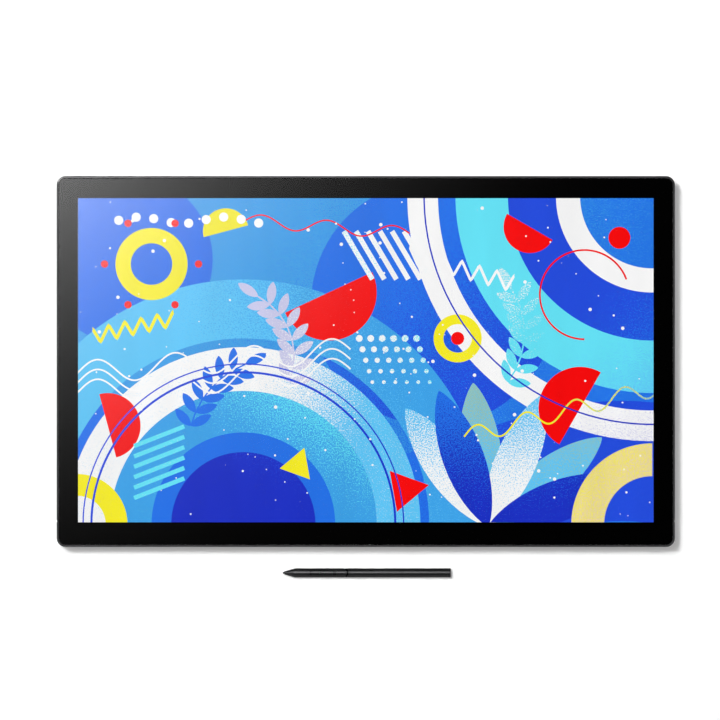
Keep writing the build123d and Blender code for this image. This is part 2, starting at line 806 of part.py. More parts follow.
def cover_cuts():
    """What is cut from the cover: bay, leg pockets, screw seats, foot seats, mount and vents."""
    pockets = [box(x0, x1, y0, y1, COVER_Z - OVER, pocket_roof())
               for x0, x1, y0, y1 in all_pocket_spaces()]
    foot_seats = [rounded_plate(FOOT_W + 2 * FOOT_FIT, FOOT_D + 2 * FOOT_FIT, FOOT_D / 2,
                                COVER_Z - OVER, COVER_Z + FOOT_SEAT, x, y)
                  for x, y in foot_places()]
    mount_holes = [rod_z(MOUNT_HOLE_R, COVER_Z - OVER, PILLAR_Z, x, y)
                   for x, y in mount_hole_places()]
    return ([bay_space()] + socket_cuts() + pockets + screw_seats() + foot_seats + mount_holes
            + vents())


def rear_cover():
    """Moulded back of the display."""
    shell = cover_outside() - cover_inside()
    return shell + cover_additions() - cover_cuts() - seam_notches()


def vents():
    """Two rows of narrow slots over the boards."""
    slots = []
    for x_middle in (-MOUNT_PLATE_W, MOUNT_PLATE_W):
        for index in range(VENT_COUNT):
            x = x_middle + VENT_PITCH * (index - (VENT_COUNT - 1) / 2)
            slots.append(rounded_plate(VENT_W, VENT_L, VENT_W * ROUND_END_SHARE,
                                       COVER_Z - OVER, FLOOR_Z + OVER, x, VENT_Y))
    return slots


def cover_screws():
    """Screws through the cover into the pillars."""
    outer, inner = standoff_places()
    z = COVER_Z + COVER_HEAD_H + HEAD_RECESS_FIT
    screws = []
    for places, seat in ((outer, PILLAR_Z), (inner, MOUNT_PLATE_TOP)):
        length = seat + SCREW_BITE - z
        screws += [screw(COVER_SCREW_R, length, COVER_HEAD_R, COVER_HEAD_H, x, y, z)
                   for x, y in places]
    return group(screws)


def mount_hole_places():
    """Centres of the four wall-mount holes."""
    half = MOUNT_PITCH / 2
    return [(x, y) for x in (-half, half) for y in (-half, half)]


def mount_plate():
    """Steel plate inside the cover that takes the wall mount's load to the pillars."""
    plate = rounded_plate(MOUNT_PLATE_W, MOUNT_PLATE_W, MOUNT_PLATE_R, FLOOR_Z, MOUNT_PLATE_TOP)
    plate -= rounded_plate(MOUNT_WINDOW, MOUNT_WINDOW, MOUNT_PLATE_R, FLOOR_Z - OVER,
                           MOUNT_PLATE_TOP + OVER)
    for x, y in mount_hole_places():
        plate -= rod_z(MOUNT_HOLE_R, FLOOR_Z - OVER, MOUNT_PLATE_TOP + OVER, x, y)
    for x, y in standoff_places()[1]:
        plate -= rod_z(COVER_SCREW_R + COVER_HOLE_FIT, FLOOR_Z - OVER, MOUNT_PLATE_TOP + OVER,
                       x, y)
    return plate


def mount_nuts():
    """Nuts pressed onto the mount plate, one over each hole."""
    outline = RegularPolygon(NUT_FLATS / 2, HEX_SIDES, major_radius=False)
    nuts = []
    for x, y in mount_hole_places():
        nut = Pos(x, y, MOUNT_PLATE_TOP) * extrude(outline, NUT_H)
        nuts.append(nut - rod_z(MOUNT_HOLE_R, FLOOR_Z, MOUNT_PLATE_TOP + NUT_H + OVER, x, y))
    return group(nuts)


def board_holes(places):
    """Screw holes through a hanging board."""
    return [rod_z(FRAME_SCREW_R + COVER_HOLE_FIT, board_z() - OVER, board_top() + OVER, x, y)
            for x, y in places]


def main_board():
    """Main board behind the socket bay."""
    y0 = board_front_y()
    board = box(-BOARD_W / 2, BOARD_W / 2, y0, y0 + BOARD_D, board_z(), board_top())
    return board - board_holes(main_board_places())


def backlight_board():
    """Driver board of the light bar, with its coils fused on."""
    half_w = DRIVER_W / 2
    half_d = DRIVER_D / 2
    board = box(DRIVER_X - half_w, DRIVER_X + half_w, DRIVER_Y - half_d, DRIVER_Y + half_d,
                board_z(), board_top())
    coil_r = DRIVER_D * DRIVER_COIL_SHARE
    pitch = DRIVER_W * DRIVER_PITCH_SHARE
    parts = [rod_z(coil_r, board_z() - PART_H, board_z(), DRIVER_X + step * pitch, DRIVER_Y)
             for step in (-1, 0, 1)]
    return board - board_holes(driver_board_places()) + parts


def chip_places():
    """Side, X and Y of each chip on the main board."""
    middle = board_front_y() + BOARD_D / 2
    return [(side, x, middle + y) for side, x, y in CHIP_SPECS]


def board_chips():
    """Square chips on the upper side of the main board."""
    return group([box(x - side / 2, x + side / 2, y - side / 2, y + side / 2,
                      board_top(), board_top() + CHIP_T) for side, x, y in chip_places()])


def heat_pads():
    """Soft pads that carry the heat of the two large chips to the chassis."""
    return group([box(x - side / 2, x + side / 2, y - side / 2, y + side / 2,
                      board_top() + CHIP_T, CHASSIS_Z) for side, x, y in chip_places()[:2]])


def board_screws():
    """Screws that hold both boards up to their pillars."""
    return group([screw(FRAME_SCREW_R, BOARD_T + CHASSIS_T + THREAD_SPARE / 2, FRAME_HEAD_R,
                        FRAME_HEAD_H, x, y, board_z()) for x, y in board_screw_places()])


def socket(x, width, height, depth, tongue_h, lip_share):
    """Metal receptacle with its contact tongue."""
    face = bay_back_y() + SOCKET_PROUD
    top = board_z()
    shell = box(x - width / 2, x + width / 2, face - depth, face, top - height, top)
    shell -= box(x - width / 2 + SHELL_T, x + width / 2 - SHELL_T, face - depth + SHELL_T * 2,
                 face + OVER, top - height + SHELL_T, top - SHELL_T)
    tongue_half = width * lip_share / 2
    middle = top - height / 2
    tongue = box(x - tongue_half, x + tongue_half, face - depth + SHELL_T, face - SHELL_T * 2,
                 middle - tongue_h / 2, middle + tongue_h / 2)
    return shell + tongue


def hdmi_socket():
    """Picture input."""
    return socket(HDMI_X, HDMI_W, HDMI_H, HDMI_D, HDMI_TONGUE_H,
                  HDMI_TONGUE_SHARE)


def usb_c_sockets():
    """Two data sockets, side by side."""
    return group([socket(USB_X + step * USB_PITCH, USB_W, USB_H, USB_D, USB_TONGUE_H,
                         USB_TONGUE_SHARE) for step in (0, 1)])


def dc_socket():
    """Supply socket: a bored block with its centre pin."""
    face = bay_back_y() + SOCKET_PROUD
    top = board_z()
    middle = top - DC_H / 2
    block = box(DC_X - DC_W / 2, DC_X + DC_W / 2, face - DC_D, face, top - DC_H, top)
    block -= rod_y(DC_BORE_R, face - DC_D + BAY_WALL, face + OVER, DC_X, middle)
    return block + rod_y(DC_PIN_R, face - DC_D + BAY_WALL / 2, face - SHELL_T, DC_X, middle)


def button_outline(growth, y0, y1):
    """Long round-ended prism of the power button, along Y."""
    outline = SlotOverall(BUTTON_W + 2 * growth, BUTTON_H + 2 * growth)
    prism = extrude(outline, y1 - y0)
    return Pos(BUTTON_X, y1, button_z()) * Rot(90, 0, 0) * prism


def power_button():
    """Cap flush with the frame, with a flange behind the wall and a short stem."""
    top_y = BODY_H / 2
    flange_y = top_y - RIM_W - BUTTON_FLANGE_GAP
    back = flange_y - BUTTON_FLANGE_T
    cap = button_outline(0, flange_y - BUTTON_FLANGE_T / 2, top_y - SEAT)
    flange = button_outline(BUTTON_FLANGE, back, flange_y)
    half = BUTTON_STEM_W / 2
    stem = box(BUTTON_X - half, BUTTON_X + half, back - BUTTON_STEM_L, flange_y,
               button_z() - PLUNGER_R, button_z() + PLUNGER_R)
    return cap + flange + stem


def button_board():
    """Small board on the chassis with the switch and the lamp."""
    top_y = BODY_H / 2
    stem_end = top_y - RIM_W - BUTTON_FLANGE_GAP - BUTTON_FLANGE_T - BUTTON_STEM_L
    plunger_end = stem_end - BUTTON_TRAVEL - PLUNGER_GAP
    body_front = plunger_end - PLUNGER_L
    board_z1 = SHIELD_Z + SMALL_BOARD_T
    x_middle = BUTTON_X - LIGHT_OFFSET / 2
    board = box(x_middle - SMALL_BOARD_W / 2, x_middle + SMALL_BOARD_W / 2,
                body_front - SMALL_BOARD_D, body_front, SHIELD_Z, board_z1)
    body = box(BUTTON_X - SWITCH_W / 2, BUTTON_X + SWITCH_W / 2, body_front - SWITCH_D,
               body_front, board_z1 - SMALL_BOARD_T / 2, button_z() + SWITCH_H / 2)
    plunger = rod_y(PLUNGER_R, body_front - SWITCH_D / 2, plunger_end, BUTTON_X, button_z())
    lamp_x = BUTTON_X - LIGHT_OFFSET
    lamp = box(lamp_x - LIGHT_LED, lamp_x + LIGHT_LED, body_front - LIGHT_LED, body_front,
               board_z1 - SMALL_BOARD_T / 2, button_z() + LIGHT_LED)
    return board + body + plunger + lamp


def status_light():
    """Clear light pipe from the lamp to the outer face of the frame."""
    top_y = BODY_H / 2
    stem_end = top_y - RIM_W - BUTTON_FLANGE_GAP - BUTTON_FLANGE_T - BUTTON_STEM_L
    lamp_face = stem_end - BUTTON_TRAVEL - PLUNGER_GAP - PLUNGER_L
    x = BUTTON_X - LIGHT_OFFSET
    pipe = rod_y(LIGHT_R, lamp_face + LIGHT_LED_GAP, top_y - SEAT, x, button_z())
    collar = rod_y(LIGHT_R * COLLAR_SHARE, top_y - RIM_W - BUTTON_FLANGE_T, top_y - RIM_W, x,
                   button_z())
    return pipe + collar


def feet():
    """Four long rubber feet, seated in the cover."""
    pads = []
    for x, y in foot_places():
        pad = rounded_plate(FOOT_W, FOOT_D, FOOT_D * ROUND_END_SHARE, 0,
                            COVER_Z + FOOT_SEAT, x, y)
        pads.append(chamfer(pad.edges().group_by(Axis.Z)[0], FOOT_CHAMFER))
    return group(pads)


def leg(x):
    """Folding leg: round knuckle, ribbed bar and a tongue for the rubber shoe."""
    z = leg_axis_z()
    half = LEG_W / 2
    tip = LEG_PIVOT_Y - LEG_L
    bar_end = tip + SHOE_L
    bar = box(x - half, x + half, bar_end, LEG_PIVOT_Y, z - LEG_T / 2, z + LEG_T / 2)
    bar += rod_x(LEG_T / 2, x - half, x + half, LEG_PIVOT_Y, z)
    groove = LEG_GROOVE_W / 2
    bar -= box(x - groove, x + groove, bar_end + LEG_GROOVE_INSET / 2,
               LEG_PIVOT_Y - LEG_GROOVE_INSET, z + LEG_T / 2 - LEG_GROOVE_D, z + LEG_T)
    tongue_w = SHOE_TONGUE_W / 2
    tongue_t = SHOE_TONGUE_T / 2
    bar += box(x - tongue_w, x + tongue_w, bar_end - SHOE_TONGUE_L,
               bar_end + SHOE_L * SHOE_ROOT_SHARE, z - tongue_t, z + tongue_t)
    return bar - rod_x(PIN_R + PIN_RUN, x - half - OVER, x + half + OVER, LEG_PIVOT_Y, z)


def leg_tip(x):
    """Rubber shoe over the leg's tongue."""
    z = leg_axis_z()
    tip = LEG_PIVOT_Y - LEG_L
    shoe = box(x - LEG_W / 2, x + LEG_W / 2, tip, tip + SHOE_L, z - LEG_T / 2, z + LEG_T / 2)
    end_edges = shoe.edges().filter_by(Axis.X).group_by(Axis.Y)[0]
    shoe = fillet(end_edges, min(SHOE_R, LEG_T * ROUND_END_SHARE))
    tongue_w = SHOE_TONGUE_W / 2 + SHOE_FIT
    tongue_t = SHOE_TONGUE_T / 2 + SHOE_FIT
    return shoe - box(x - tongue_w, x + tongue_w, tip + SHOE_L - SHOE_TONGUE_L - SHOE_FIT,
                      tip + SHOE_L + OVER, z - tongue_t, z + tongue_t)


def ear_x(x, side):
    """Inner face of a hinge ear."""
    return x + side * (LEG_W / 2 + EAR_SIDE_GAP)


def leg_ears(x):
    """Pair of steel angles that hold the hinge pin, screwed up to the pocket's roof."""
    z = leg_axis_z()
    ears = []
    for side in (-1, 1):
        inner = ear_x(x, side)
        outer = inner + side * EAR_T
        low, high = sorted((inner, outer))
        ear = box(low, high, LEG_PIVOT_Y - EAR_NOSE_R, LEG_PIVOT_Y + EAR_NOSE_R, z, pocket_roof())
        ear += rod_x(EAR_NOSE_R, low, high, LEG_PIVOT_Y, z)
        end = outer + side * EAR_FLANGE
        flange_low, flange_high = sorted((inner, end))
        ear += box(flange_low, flange_high, LEG_PIVOT_Y - EAR_L / 2, LEG_PIVOT_Y + EAR_L / 2,
                   pocket_roof() - EAR_FLANGE_T, pocket_roof())
        ear -= rod_x(PIN_R + PIN_PRESS, low - OVER, high + OVER, LEG_PIVOT_Y, z)
        hole_x = bracket_screw_x(x, side)
        ear -= rod_z(BRACKET_SCREW_R + COVER_HOLE_FIT, z, pocket_roof() + OVER, hole_x,
                     LEG_PIVOT_Y)
        ears.append(ear)
    return group(ears)


def bracket_screw_x(x, side):
    """Middle of the screw in an ear's flange."""
    return ear_x(x, side) + side * (EAR_T + EAR_FLANGE / 2)


def bracket_screw_places():
    """Screw centres of all four ears."""
    return [(bracket_screw_x(leg_x, side), LEG_PIVOT_Y) for leg_x in (-LEG_X, LEG_X)
            for side in (-1, 1)]


def bracket_screws():
    """Screws that pull the ears up to their short pillars."""
    z = pocket_roof() - EAR_FLANGE_T
    pillar_h = CHASSIS_Z - pocket_roof_top()
    length = pocket_roof_top() - z + pillar_h * BRACKET_BITE_SHARE
    return group([screw(BRACKET_SCREW_R, length, BRACKET_HEAD_R, BRACKET_HEAD_H, x, y, z)
                  for x, y in bracket_screw_places()])


def leg_pins():
    """Headed hinge pins, one through each leg."""
    z = leg_axis_z()
    reach = LEG_W / 2 + EAR_SIDE_GAP + EAR_T
    pins = []
    for x in (-LEG_X, LEG_X):
        pin = rod_x(PIN_R, x - reach, x + reach, LEG_PIVOT_Y, z)
        for side in (-1, 1):
            low, high = sorted((x + side * reach, x + side * (reach + PIN_HEAD_T)))
            pin += rod_x(PIN_HEAD_R, low, high, LEG_PIVOT_Y, z)
        pins.append(pin)
    return group(pins)


def friction_washers():
    """Thin washers between each leg and its ears."""
    z = leg_axis_z()
    washers = []
    for x in (-LEG_X, LEG_X):
        for side in (-1, 1):
            inner = ear_x(x, side)
            low, high = sorted((inner, inner - side * WASHER_T))
            ring = rod_x(WASHER_R, low, high, LEG_PIVOT_Y, z)
            washers.append(ring - rod_x(PIN_R + PIN_RUN, low - OVER, high + OVER, LEG_PIVOT_Y, z))
    return group(washers)


# The pen is built along its own axis, with its nib at zero, and then laid on the desk

def save_pen(name, shape):
    """Lay a piece of the pen on the desk, under the display, and write it."""
    save(name, Pos(PEN_TIP_X, 0, PEN_R) * shape, PEN_Y)


def turned(points):
    """Solid of revolution about the pen's axis from its outline of (along, radius) points."""
    return revolve(make_face(Polyline(points, close=True)), Axis.X)


def ring_cut(start):
    """Everything on the tail side of a curved cut that bulges towards the tail."""
    radius = RING_CURVE_R
    tail = box(start - radius, PEN_L + PEN_R, -PEN_R * 2, PEN_R * 2, -PEN_R * 2, PEN_R * 2)
    return tail - Pos(start - radius, 0, 0) * Cylinder(radius, PEN_L)


def pen_front_barrel():
    """Nose and grip as one tube, with the slot of the button plate."""
    shoulder = NOSE_START + NOSE_L
    outline = [(NOSE_START, NIB_BORE_R), (NOSE_START, NOSE_R - NOSE_EDGE),
               (NOSE_START + NOSE_EDGE, NOSE_R), (shoulder, PEN_R - NOSE_EDGE * NOSE_SHOULDER_SHARE),
               (shoulder + NOSE_BLEND, PEN_R), (RING_S + RING_L, PEN_R),
               (RING_S + RING_L, PEN_BORE_R), (PEN_BORE_START, PEN_BORE_R),
               (PEN_BORE_START, NIB_BORE_R)]
    slot = box(PLATE_START - PLATE_FIT, PLATE_END + PLATE_FIT, -PLATE_W / 2 - PLATE_FIT,
               PLATE_W / 2 + PLATE_FIT, 0, PEN_R + OVER)
    return turned(outline) - slot - ring_cut(RING_S)


def tube(start, end, outer, inner):
    """Plain tube along the pen's axis."""
    return rod_x(outer, start, end) - rod_x(inner, start - OVER, end + OVER)


def pen_ring():
    """Glossy ring between the two barrels, a little below their surface."""
    reach = RING_CURVE_R
    band = tube(RING_S - reach, RING_S + RING_L + reach, PEN_R - RING_INSET, PEN_BORE_R)
    return band & (ring_cut(RING_S + RING_GAP) - ring_cut(RING_S + RING_L))


def pen_rear_barrel():
    """Rear tube, from the ring to the tail cap."""
    barrel = tube(RING_S - RING_CURVE_R, PEN_L - TAIL_CAP_L, PEN_R, PEN_BORE_R)
    return barrel & ring_cut(RING_S + RING_L + RING_GAP)


def pen_tail_cap():
    """Flat cap with a fine chamfer and a plug inside the barrel."""
    start = PEN_L - TAIL_CAP_L
    cap = rod_x(PEN_R, start + SEAT, PEN_L)
    cap = chamfer(cap.edges().group_by(Axis.X)[-1], TAIL_CHAMFER)
    return cap + rod_x(PEN_BORE_R - TAIL_PLUG_FIT, start - TAIL_PLUG_L, start + TAIL_CAP_L / 2)


def button_spans():
    """Start and end of the front, middle and rear side buttons."""
    return ((FRONT_BUTTON_START, FRONT_BUTTON_END),
            (FRONT_BUTTON_END + PEN_BUTTON_GAP, MIDDLE_BUTTON_END),
            (MIDDLE_BUTTON_END + PEN_BUTTON_GAP, REAR_BUTTON_END))


def plate_base():
    """Underside of the button plate, above the pen's axis."""
    edge = math.sqrt(PEN_R ** 2 - (PLATE_W / 2) ** 2)
    return edge - PLATE_T


def pen_button_plate():
    """Trim round the side buttons, flush with the barrel."""
    block = box(PLATE_START, PLATE_END, -PLATE_W / 2, PLATE_W / 2, plate_base(), PEN_R + OVER)
    plate = block & rod_x(PEN_R, 0, PEN_L)
    half = PEN_BUTTON_W / 2 + PEN_BUTTON_FIT
    for start, end in button_spans():
        plate -= box(start - PEN_BUTTON_FIT, end + PEN_BUTTON_FIT, -half, half, 0, PEN_R + OVER)
    return plate


def pen_button(start, end):
    """Side button that stands a little proud, with a flange under the plate."""
    half = PEN_BUTTON_W / 2
    flange_top = plate_base() - PEN_FLANGE_GAP
    cap = box(start, end, -half, half, flange_top - PEN_FLANGE_T, PEN_R + 2 * PEN_BUTTON_RISE)
    cap &= rod_x(PEN_R + PEN_BUTTON_RISE, 0, PEN_L)
    side = half + PEN_FLANGE
    flange = box(start, end, -side, side, flange_top - PEN_FLANGE_T, flange_top)
    return cap + flange


def pen_nib():
    """Long nib rod with a round point."""
    point = Pos(NIB_R, 0, 0) * Sphere(NIB_R)
    return rod_x(NIB_R, NIB_R, NIB_L) + point


def pen_ferrite():
    """Ferrite sleeve round the nib."""
    return tube(FERRITE_START, FERRITE_START + FERRITE_L, FERRITE_R, NIB_BORE_R)


def pen_coil():
    """Winding on the ferrite, with a cup that centres both in the bore."""
    start = FERRITE_START + COIL_INSET
    end = FERRITE_START + FERRITE_L - COIL_INSET
    winding = tube(start, end, COIL_R, FERRITE_R + THREAD_FIT)
    return winding + tube(start, start + COIL_INSET, CUP_R, FERRITE_R + THREAD_FIT)


def pen_force_sensor():
    """Block behind the nib that feels its stroke."""
    start = NIB_L + NIB_TRAVEL + FORCE_SENSOR_GAP
    return rod_x(PEN_BORE_R - CARRIER_FIT, start, start + FORCE_SENSOR_L) - box(
        start - OVER, start + FORCE_SENSOR_L + OVER, -PEN_R, PEN_R, PEN_BOARD_LIFT + PEN_BOARD_T,
        PEN_R)


def pen_carrier():
    """Half-round tray in the bore that carries the board."""
    start = NIB_L + NIB_TRAVEL + FORCE_SENSOR_GAP + FORCE_SENSOR_L + CARRIER_GAP
    outer = PEN_BORE_R - CARRIER_FIT
    shell = tube(start, CARRIER_END, outer, outer - CARRIER_T)
    return shell & box(start, CARRIER_END, -PEN_R, PEN_R, -PEN_R, PEN_BOARD_LIFT)


def pen_board():
    """Long narrow board with one switch under each side button."""
    start = NIB_L + NIB_TRAVEL + FORCE_SENSOR_GAP + FORCE_SENSOR_L + CARRIER_GAP
    half = PEN_BOARD_W / 2
    top = PEN_BOARD_LIFT + PEN_BOARD_T
    board = box(start, PEN_BOARD_END, -half, half, PEN_BOARD_LIFT, top)
    switch_top = (plate_base() - PEN_FLANGE_GAP - PEN_FLANGE_T - PEN_BUTTON_TRAVEL
                  - PEN_SWITCH_GAP)
    for low, high in button_spans():
        middle = max((low + high) / 2, start + PEN_SWITCH_INSET)
        switch_half = min(PEN_SWITCH_L, high - low) / 2
        board += box(middle - switch_half, middle + switch_half, -PEN_SWITCH_W / 2,
                     PEN_SWITCH_W / 2, PEN_BOARD_LIFT + PEN_BOARD_T / 2, switch_top)
    return board


def write_front():
    """Glass, print, tape, both frames and their screws."""
    ring = whole_frame()
    save("front_glass", front_glass())
    save("border_print", border_print())
    save("glass_tape", glass_tape())
    save("upper_frame", upper_frame(ring))
    save("lower_frame", lower_frame(ring))
    save("frame_screws", frame_screws())


def write_screen():
    """Panel, backlight and digitiser, from the front to the back."""
    led_room = LED_STRIP_T + LED_D + LAYER_FIT
    cell_w = SCREEN_W + 2 * CELL_MARGIN
    cell_h = SCREEN_H + 2 * CELL_MARGIN
    save("lcd_cell", screen_plate(cell_w, cell_h, CELL_Z, CELL_TOP))
    save("prism_sheet", backlight_layer(PRISM_Z, CELL_Z))
    save("diffuser_sheet", backlight_layer(DIFFUSER_Z, PRISM_Z))
    save("light_guide", backlight_layer(GUIDE_Z, DIFFUSER_Z, led_room))
    save("reflector_sheet", backlight_layer(REFLECTOR_Z, GUIDE_Z))
    save("led_bar", led_bar())
    save("backlight_tray", backlight_tray())
    save("panel_source_board", panel_source_board())
    save("panel_flexes", panel_flexes())
    save("sensor_board", screen_plate(TRAY_W, TRAY_H, SENSOR_Z, TRAY_Z))
    save("shield_plate", screen_plate(TRAY_W, TRAY_H, SHIELD_Z, SENSOR_Z))


def write_inside():
    """Chassis, pillars, boards, sockets, power button and wall-mount plate."""
    save("chassis", chassis())
    save("standoffs", standoffs())
    save("main_board", main_board())
    save("board_chips", board_chips())
    save("heat_pads", heat_pads())
    save("board_screws", board_screws())
    save("hdmi_socket", hdmi_socket())
    save("usb_c_sockets", usb_c_sockets())
    save("dc_socket", dc_socket())
    save("backlight_board", backlight_board())
    save("ribbon_cables", ribbon_cables())
    save("power_button", power_button())
    save("button_board", button_board())
    save("status_light", status_light())
    save("mount_plate", mount_plate())
    save("mount_nuts", mount_nuts())


def write_back():
    """Rear cover, its screws and feet, and both folding legs."""
    save("rear_cover", rear_cover())
    save("cover_screws", cover_screws())
    save("feet", feet())
    for name, x in (("left", -LEG_X), ("right", LEG_X)):
        save(f"leg_{name}", leg(x))
        save(f"leg_tip_{name}", leg_tip(x))
        save(f"leg_ears_{name}", leg_ears(x))
    save("leg_pins", leg_pins())
    save("friction_washers", friction_washers())
    save("bracket_screws", bracket_screws())


def write_pen():
    """Every piece of the pen."""
    save_pen("pen_nib", pen_nib())
    save_pen("pen_front_barrel", pen_front_barrel())
    save_pen("pen_ring", pen_ring())
    save_pen("pen_rear_barrel", pen_rear_barrel())
    save_pen("pen_tail_cap", pen_tail_cap())
    save_pen("pen_button_plate", pen_button_plate())
    for name, span in zip(("front", "middle", "rear"), button_spans()):
        save_pen(f"pen_button_{name}", pen_button(*span))
    save_pen("pen_ferrite", pen_ferrite())
    save_pen("pen_coil", pen_coil())
    save_pen("pen_force_sensor", pen_force_sensor())
    save_pen("pen_carrier", pen_carrier())
    save_pen("pen_board", pen_board())


os.makedirs("parts", exist_ok=True)
write_front()
write_screen()
write_inside()
write_back()
write_pen()
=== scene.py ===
import json
import logging
import math
import random
from abc import ABC, abstractmethod
from collections.abc import Callable, Iterator
from contextlib import contextmanager
from dataclasses import dataclass, field
from enum import Enum
from typing import ClassVar

import bpy
from mathutils import Matrix, Vector


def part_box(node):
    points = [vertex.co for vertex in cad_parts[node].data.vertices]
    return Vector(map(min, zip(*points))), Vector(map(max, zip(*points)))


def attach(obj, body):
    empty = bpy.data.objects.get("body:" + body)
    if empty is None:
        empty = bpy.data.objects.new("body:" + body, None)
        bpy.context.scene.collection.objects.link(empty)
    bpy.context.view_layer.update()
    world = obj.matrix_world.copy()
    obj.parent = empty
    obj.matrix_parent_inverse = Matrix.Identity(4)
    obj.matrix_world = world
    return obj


# The look of a pen display that lies on its back, with its pen in front of it. Everything is
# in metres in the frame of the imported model; sizes named ..._mm are millimetres, and angles are
# degrees. SNAP is how near a point counts as the same place, and WAVE_GAIN is how many radians a
# wave texture runs through in a unit of length at scale 1.

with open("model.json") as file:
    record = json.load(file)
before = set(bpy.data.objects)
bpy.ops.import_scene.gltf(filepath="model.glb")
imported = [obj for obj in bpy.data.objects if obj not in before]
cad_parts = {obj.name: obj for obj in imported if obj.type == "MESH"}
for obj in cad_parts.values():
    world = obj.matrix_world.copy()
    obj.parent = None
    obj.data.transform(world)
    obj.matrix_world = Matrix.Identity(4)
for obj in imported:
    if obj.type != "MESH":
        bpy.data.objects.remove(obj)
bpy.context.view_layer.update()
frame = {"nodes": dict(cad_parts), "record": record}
LOG = logging.getLogger("pen_display")
MM = 0.001
SNAP = 0.002 * MM
WAVE_GAIN = 20.0

Colour = tuple[float, float, float, float]
Place = tuple[float, float]
Line = Callable[[float], Place]
Socket = bpy.types.NodeSocket


def srgb(red: float, green: float, blue: float) -> Colour:
    """Turn a colour as it looks on a screen into the linear one that a shader takes.

    Args:
        red: Red, from 0 to 255.
        green: Green, from 0 to 255.
        blue: Blue, from 0 to 255.

    Returns:
        The linear colour with full opacity.
    """
    def channel(value: float) -> float:
        """Linear share of one channel."""
        share = value / 255
        return share / 12.92 if share <= 0.04045 else ((share + 0.055) / 1.055) ** 2.4

    return channel(red), channel(green), channel(blue), 1.0


def scaled(colour: Colour, factor: float) -> Colour:
    """Lighten or darken a linear colour, held at white."""
    red, green, blue = (min(1.0, channel * factor) for channel in colour[:3])
    return red, green, blue, 1.0


class Graph:
    """Builds shader nodes in one node tree."""

    def __init__(self, tree: bpy.types.NodeTree) -> None:
        """Keep the tree that the nodes go into."""
        self.tree = tree

    def node(self, kind: str, inputs: dict | None = None, **settings: object) -> bpy.types.Node:
        """Add a node.

        Args:
            kind: Its type name.
            inputs: Socket name or number to a value or to the socket that feeds it.
            **settings: Properties of the node itself.

        Returns:
            The new node.
        """
        made = self.tree.nodes.new(kind)
        for name, value in settings.items():
            setattr(made, name, value)
        self.feed(made, inputs or {})
        return made

    def feed(self, node: bpy.types.Node, inputs: dict) -> None:
        """Set or link inputs of a node.

        Args:
            node: The node that is fed.
            inputs: Socket name or number to a value or to the socket that feeds it.
        """
        for name, value in inputs.items():
            if isinstance(value, Socket):
                self.tree.links.new(value, node.inputs[name])
            else:
                node.inputs[name].default_value = value

    def math(self, operation: str, first: object, second: object = 0.0,
             clamp: bool = False) -> Socket:
        """Work out one number from two, held between 0 and 1 if asked."""
        return self.node("ShaderNodeMath", {0: first, 1: second}, operation=operation,
                         use_clamp=clamp).outputs[0]

    def mix(self, share: object, first: object, second: object, blend: str = "MIX") -> Socket:
        """Mix two colours by the share of the second one."""
        return self.node("ShaderNodeMix", {0: share, 6: first, 7: second}, data_type="RGBA",
                         blend_type=blend).outputs[2]

    def spread(self, value: object, low: float, high: float, to_low: float = 0.0,
               to_high: float = 1.0) -> Socket:
        """Map a range of numbers onto another one, held at its ends."""
        return self.node("ShaderNodeMapRange",
                         {0: value, 1: low, 2: high, 3: to_low, 4: to_high}).outputs[0]

    def noise(self, vector: Socket, scale: object, detail: float = 2.0) -> Socket:
        """Cloudy noise from 0 to 1, with its waves per unit and its finer layers."""
        return self.node("ShaderNodeTexNoise", {"Vector": vector, "Scale": scale,
                                                "Detail": detail}).outputs["Fac"]

    def vector(self, operation: str, first: object, second: object = (0.0, 0.0, 0.0),
               output: str = "Vector") -> Socket:
        """Work out a vector or a number from two vectors."""
        return self.node("ShaderNodeVectorMath", {0: first, 1: second},
                         operation=operation).outputs[output]

    def first_share(self, colour: Socket) -> Socket:
        """Red share of a random colour, as a random number."""
        return self.node("ShaderNodeSeparateColor", {0: colour}).outputs[0]

    def weigh(self, first: object, first_weight: float, second: object,
              second_weight: float) -> Socket:
        """Add two numbers, each times its own weight."""
        return self.math("ADD", self.math("MULTIPLY", first, first_weight),
                         self.math("MULTIPLY", second, second_weight))

    def bump(self, height: Socket, depth_mm: float, normal: Socket | None = None) -> Socket:
        """Normal of a surface with small heights on it.

        Args:
            height: Share of the greatest height.
            depth_mm: The greatest height.
            normal: Normal that the heights stand on, if it isn't the mesh's own.

        Returns:
            The changed normal.
        """
        inputs = {"Height": height, "Distance": depth_mm * MM}
        if normal:
            inputs["Normal"] = normal
        return self.node("ShaderNodeBump", inputs).outputs[0]

    def place(self) -> Socket:
        """Point on the object, in metres of the part's frame."""
        return self.node("ShaderNodeTexCoord").outputs["Object"]

    def turned(self, vector: Socket, degrees: float, stretch: tuple[float, float, float]) -> Socket:
        """Turn a pattern about Z and stretch it along each axis."""
        return self.node("ShaderNodeMapping", {
            "Vector": vector, "Scale": stretch,
            "Rotation": (0.0, 0.0, math.radians(degrees))}).outputs[0]

    def effect(self, tree: bpy.types.NodeTree, inputs: dict) -> bpy.types.Node:
        """Place a shared effect with its own values."""
        return self.node("ShaderNodeGroup", inputs, node_tree=tree)


def emptied(owner: bpy.types.Material | bpy.types.Light | bpy.types.World) -> Graph:
    """Clear the nodes of a material, a lamp or the world, for new ones.

    Args:
        owner: What the nodes belong to.

    Returns:
        The empty graph.
    """
    owner.use_nodes = True
    owner.node_tree.nodes.clear()
    return Graph(owner.node_tree)


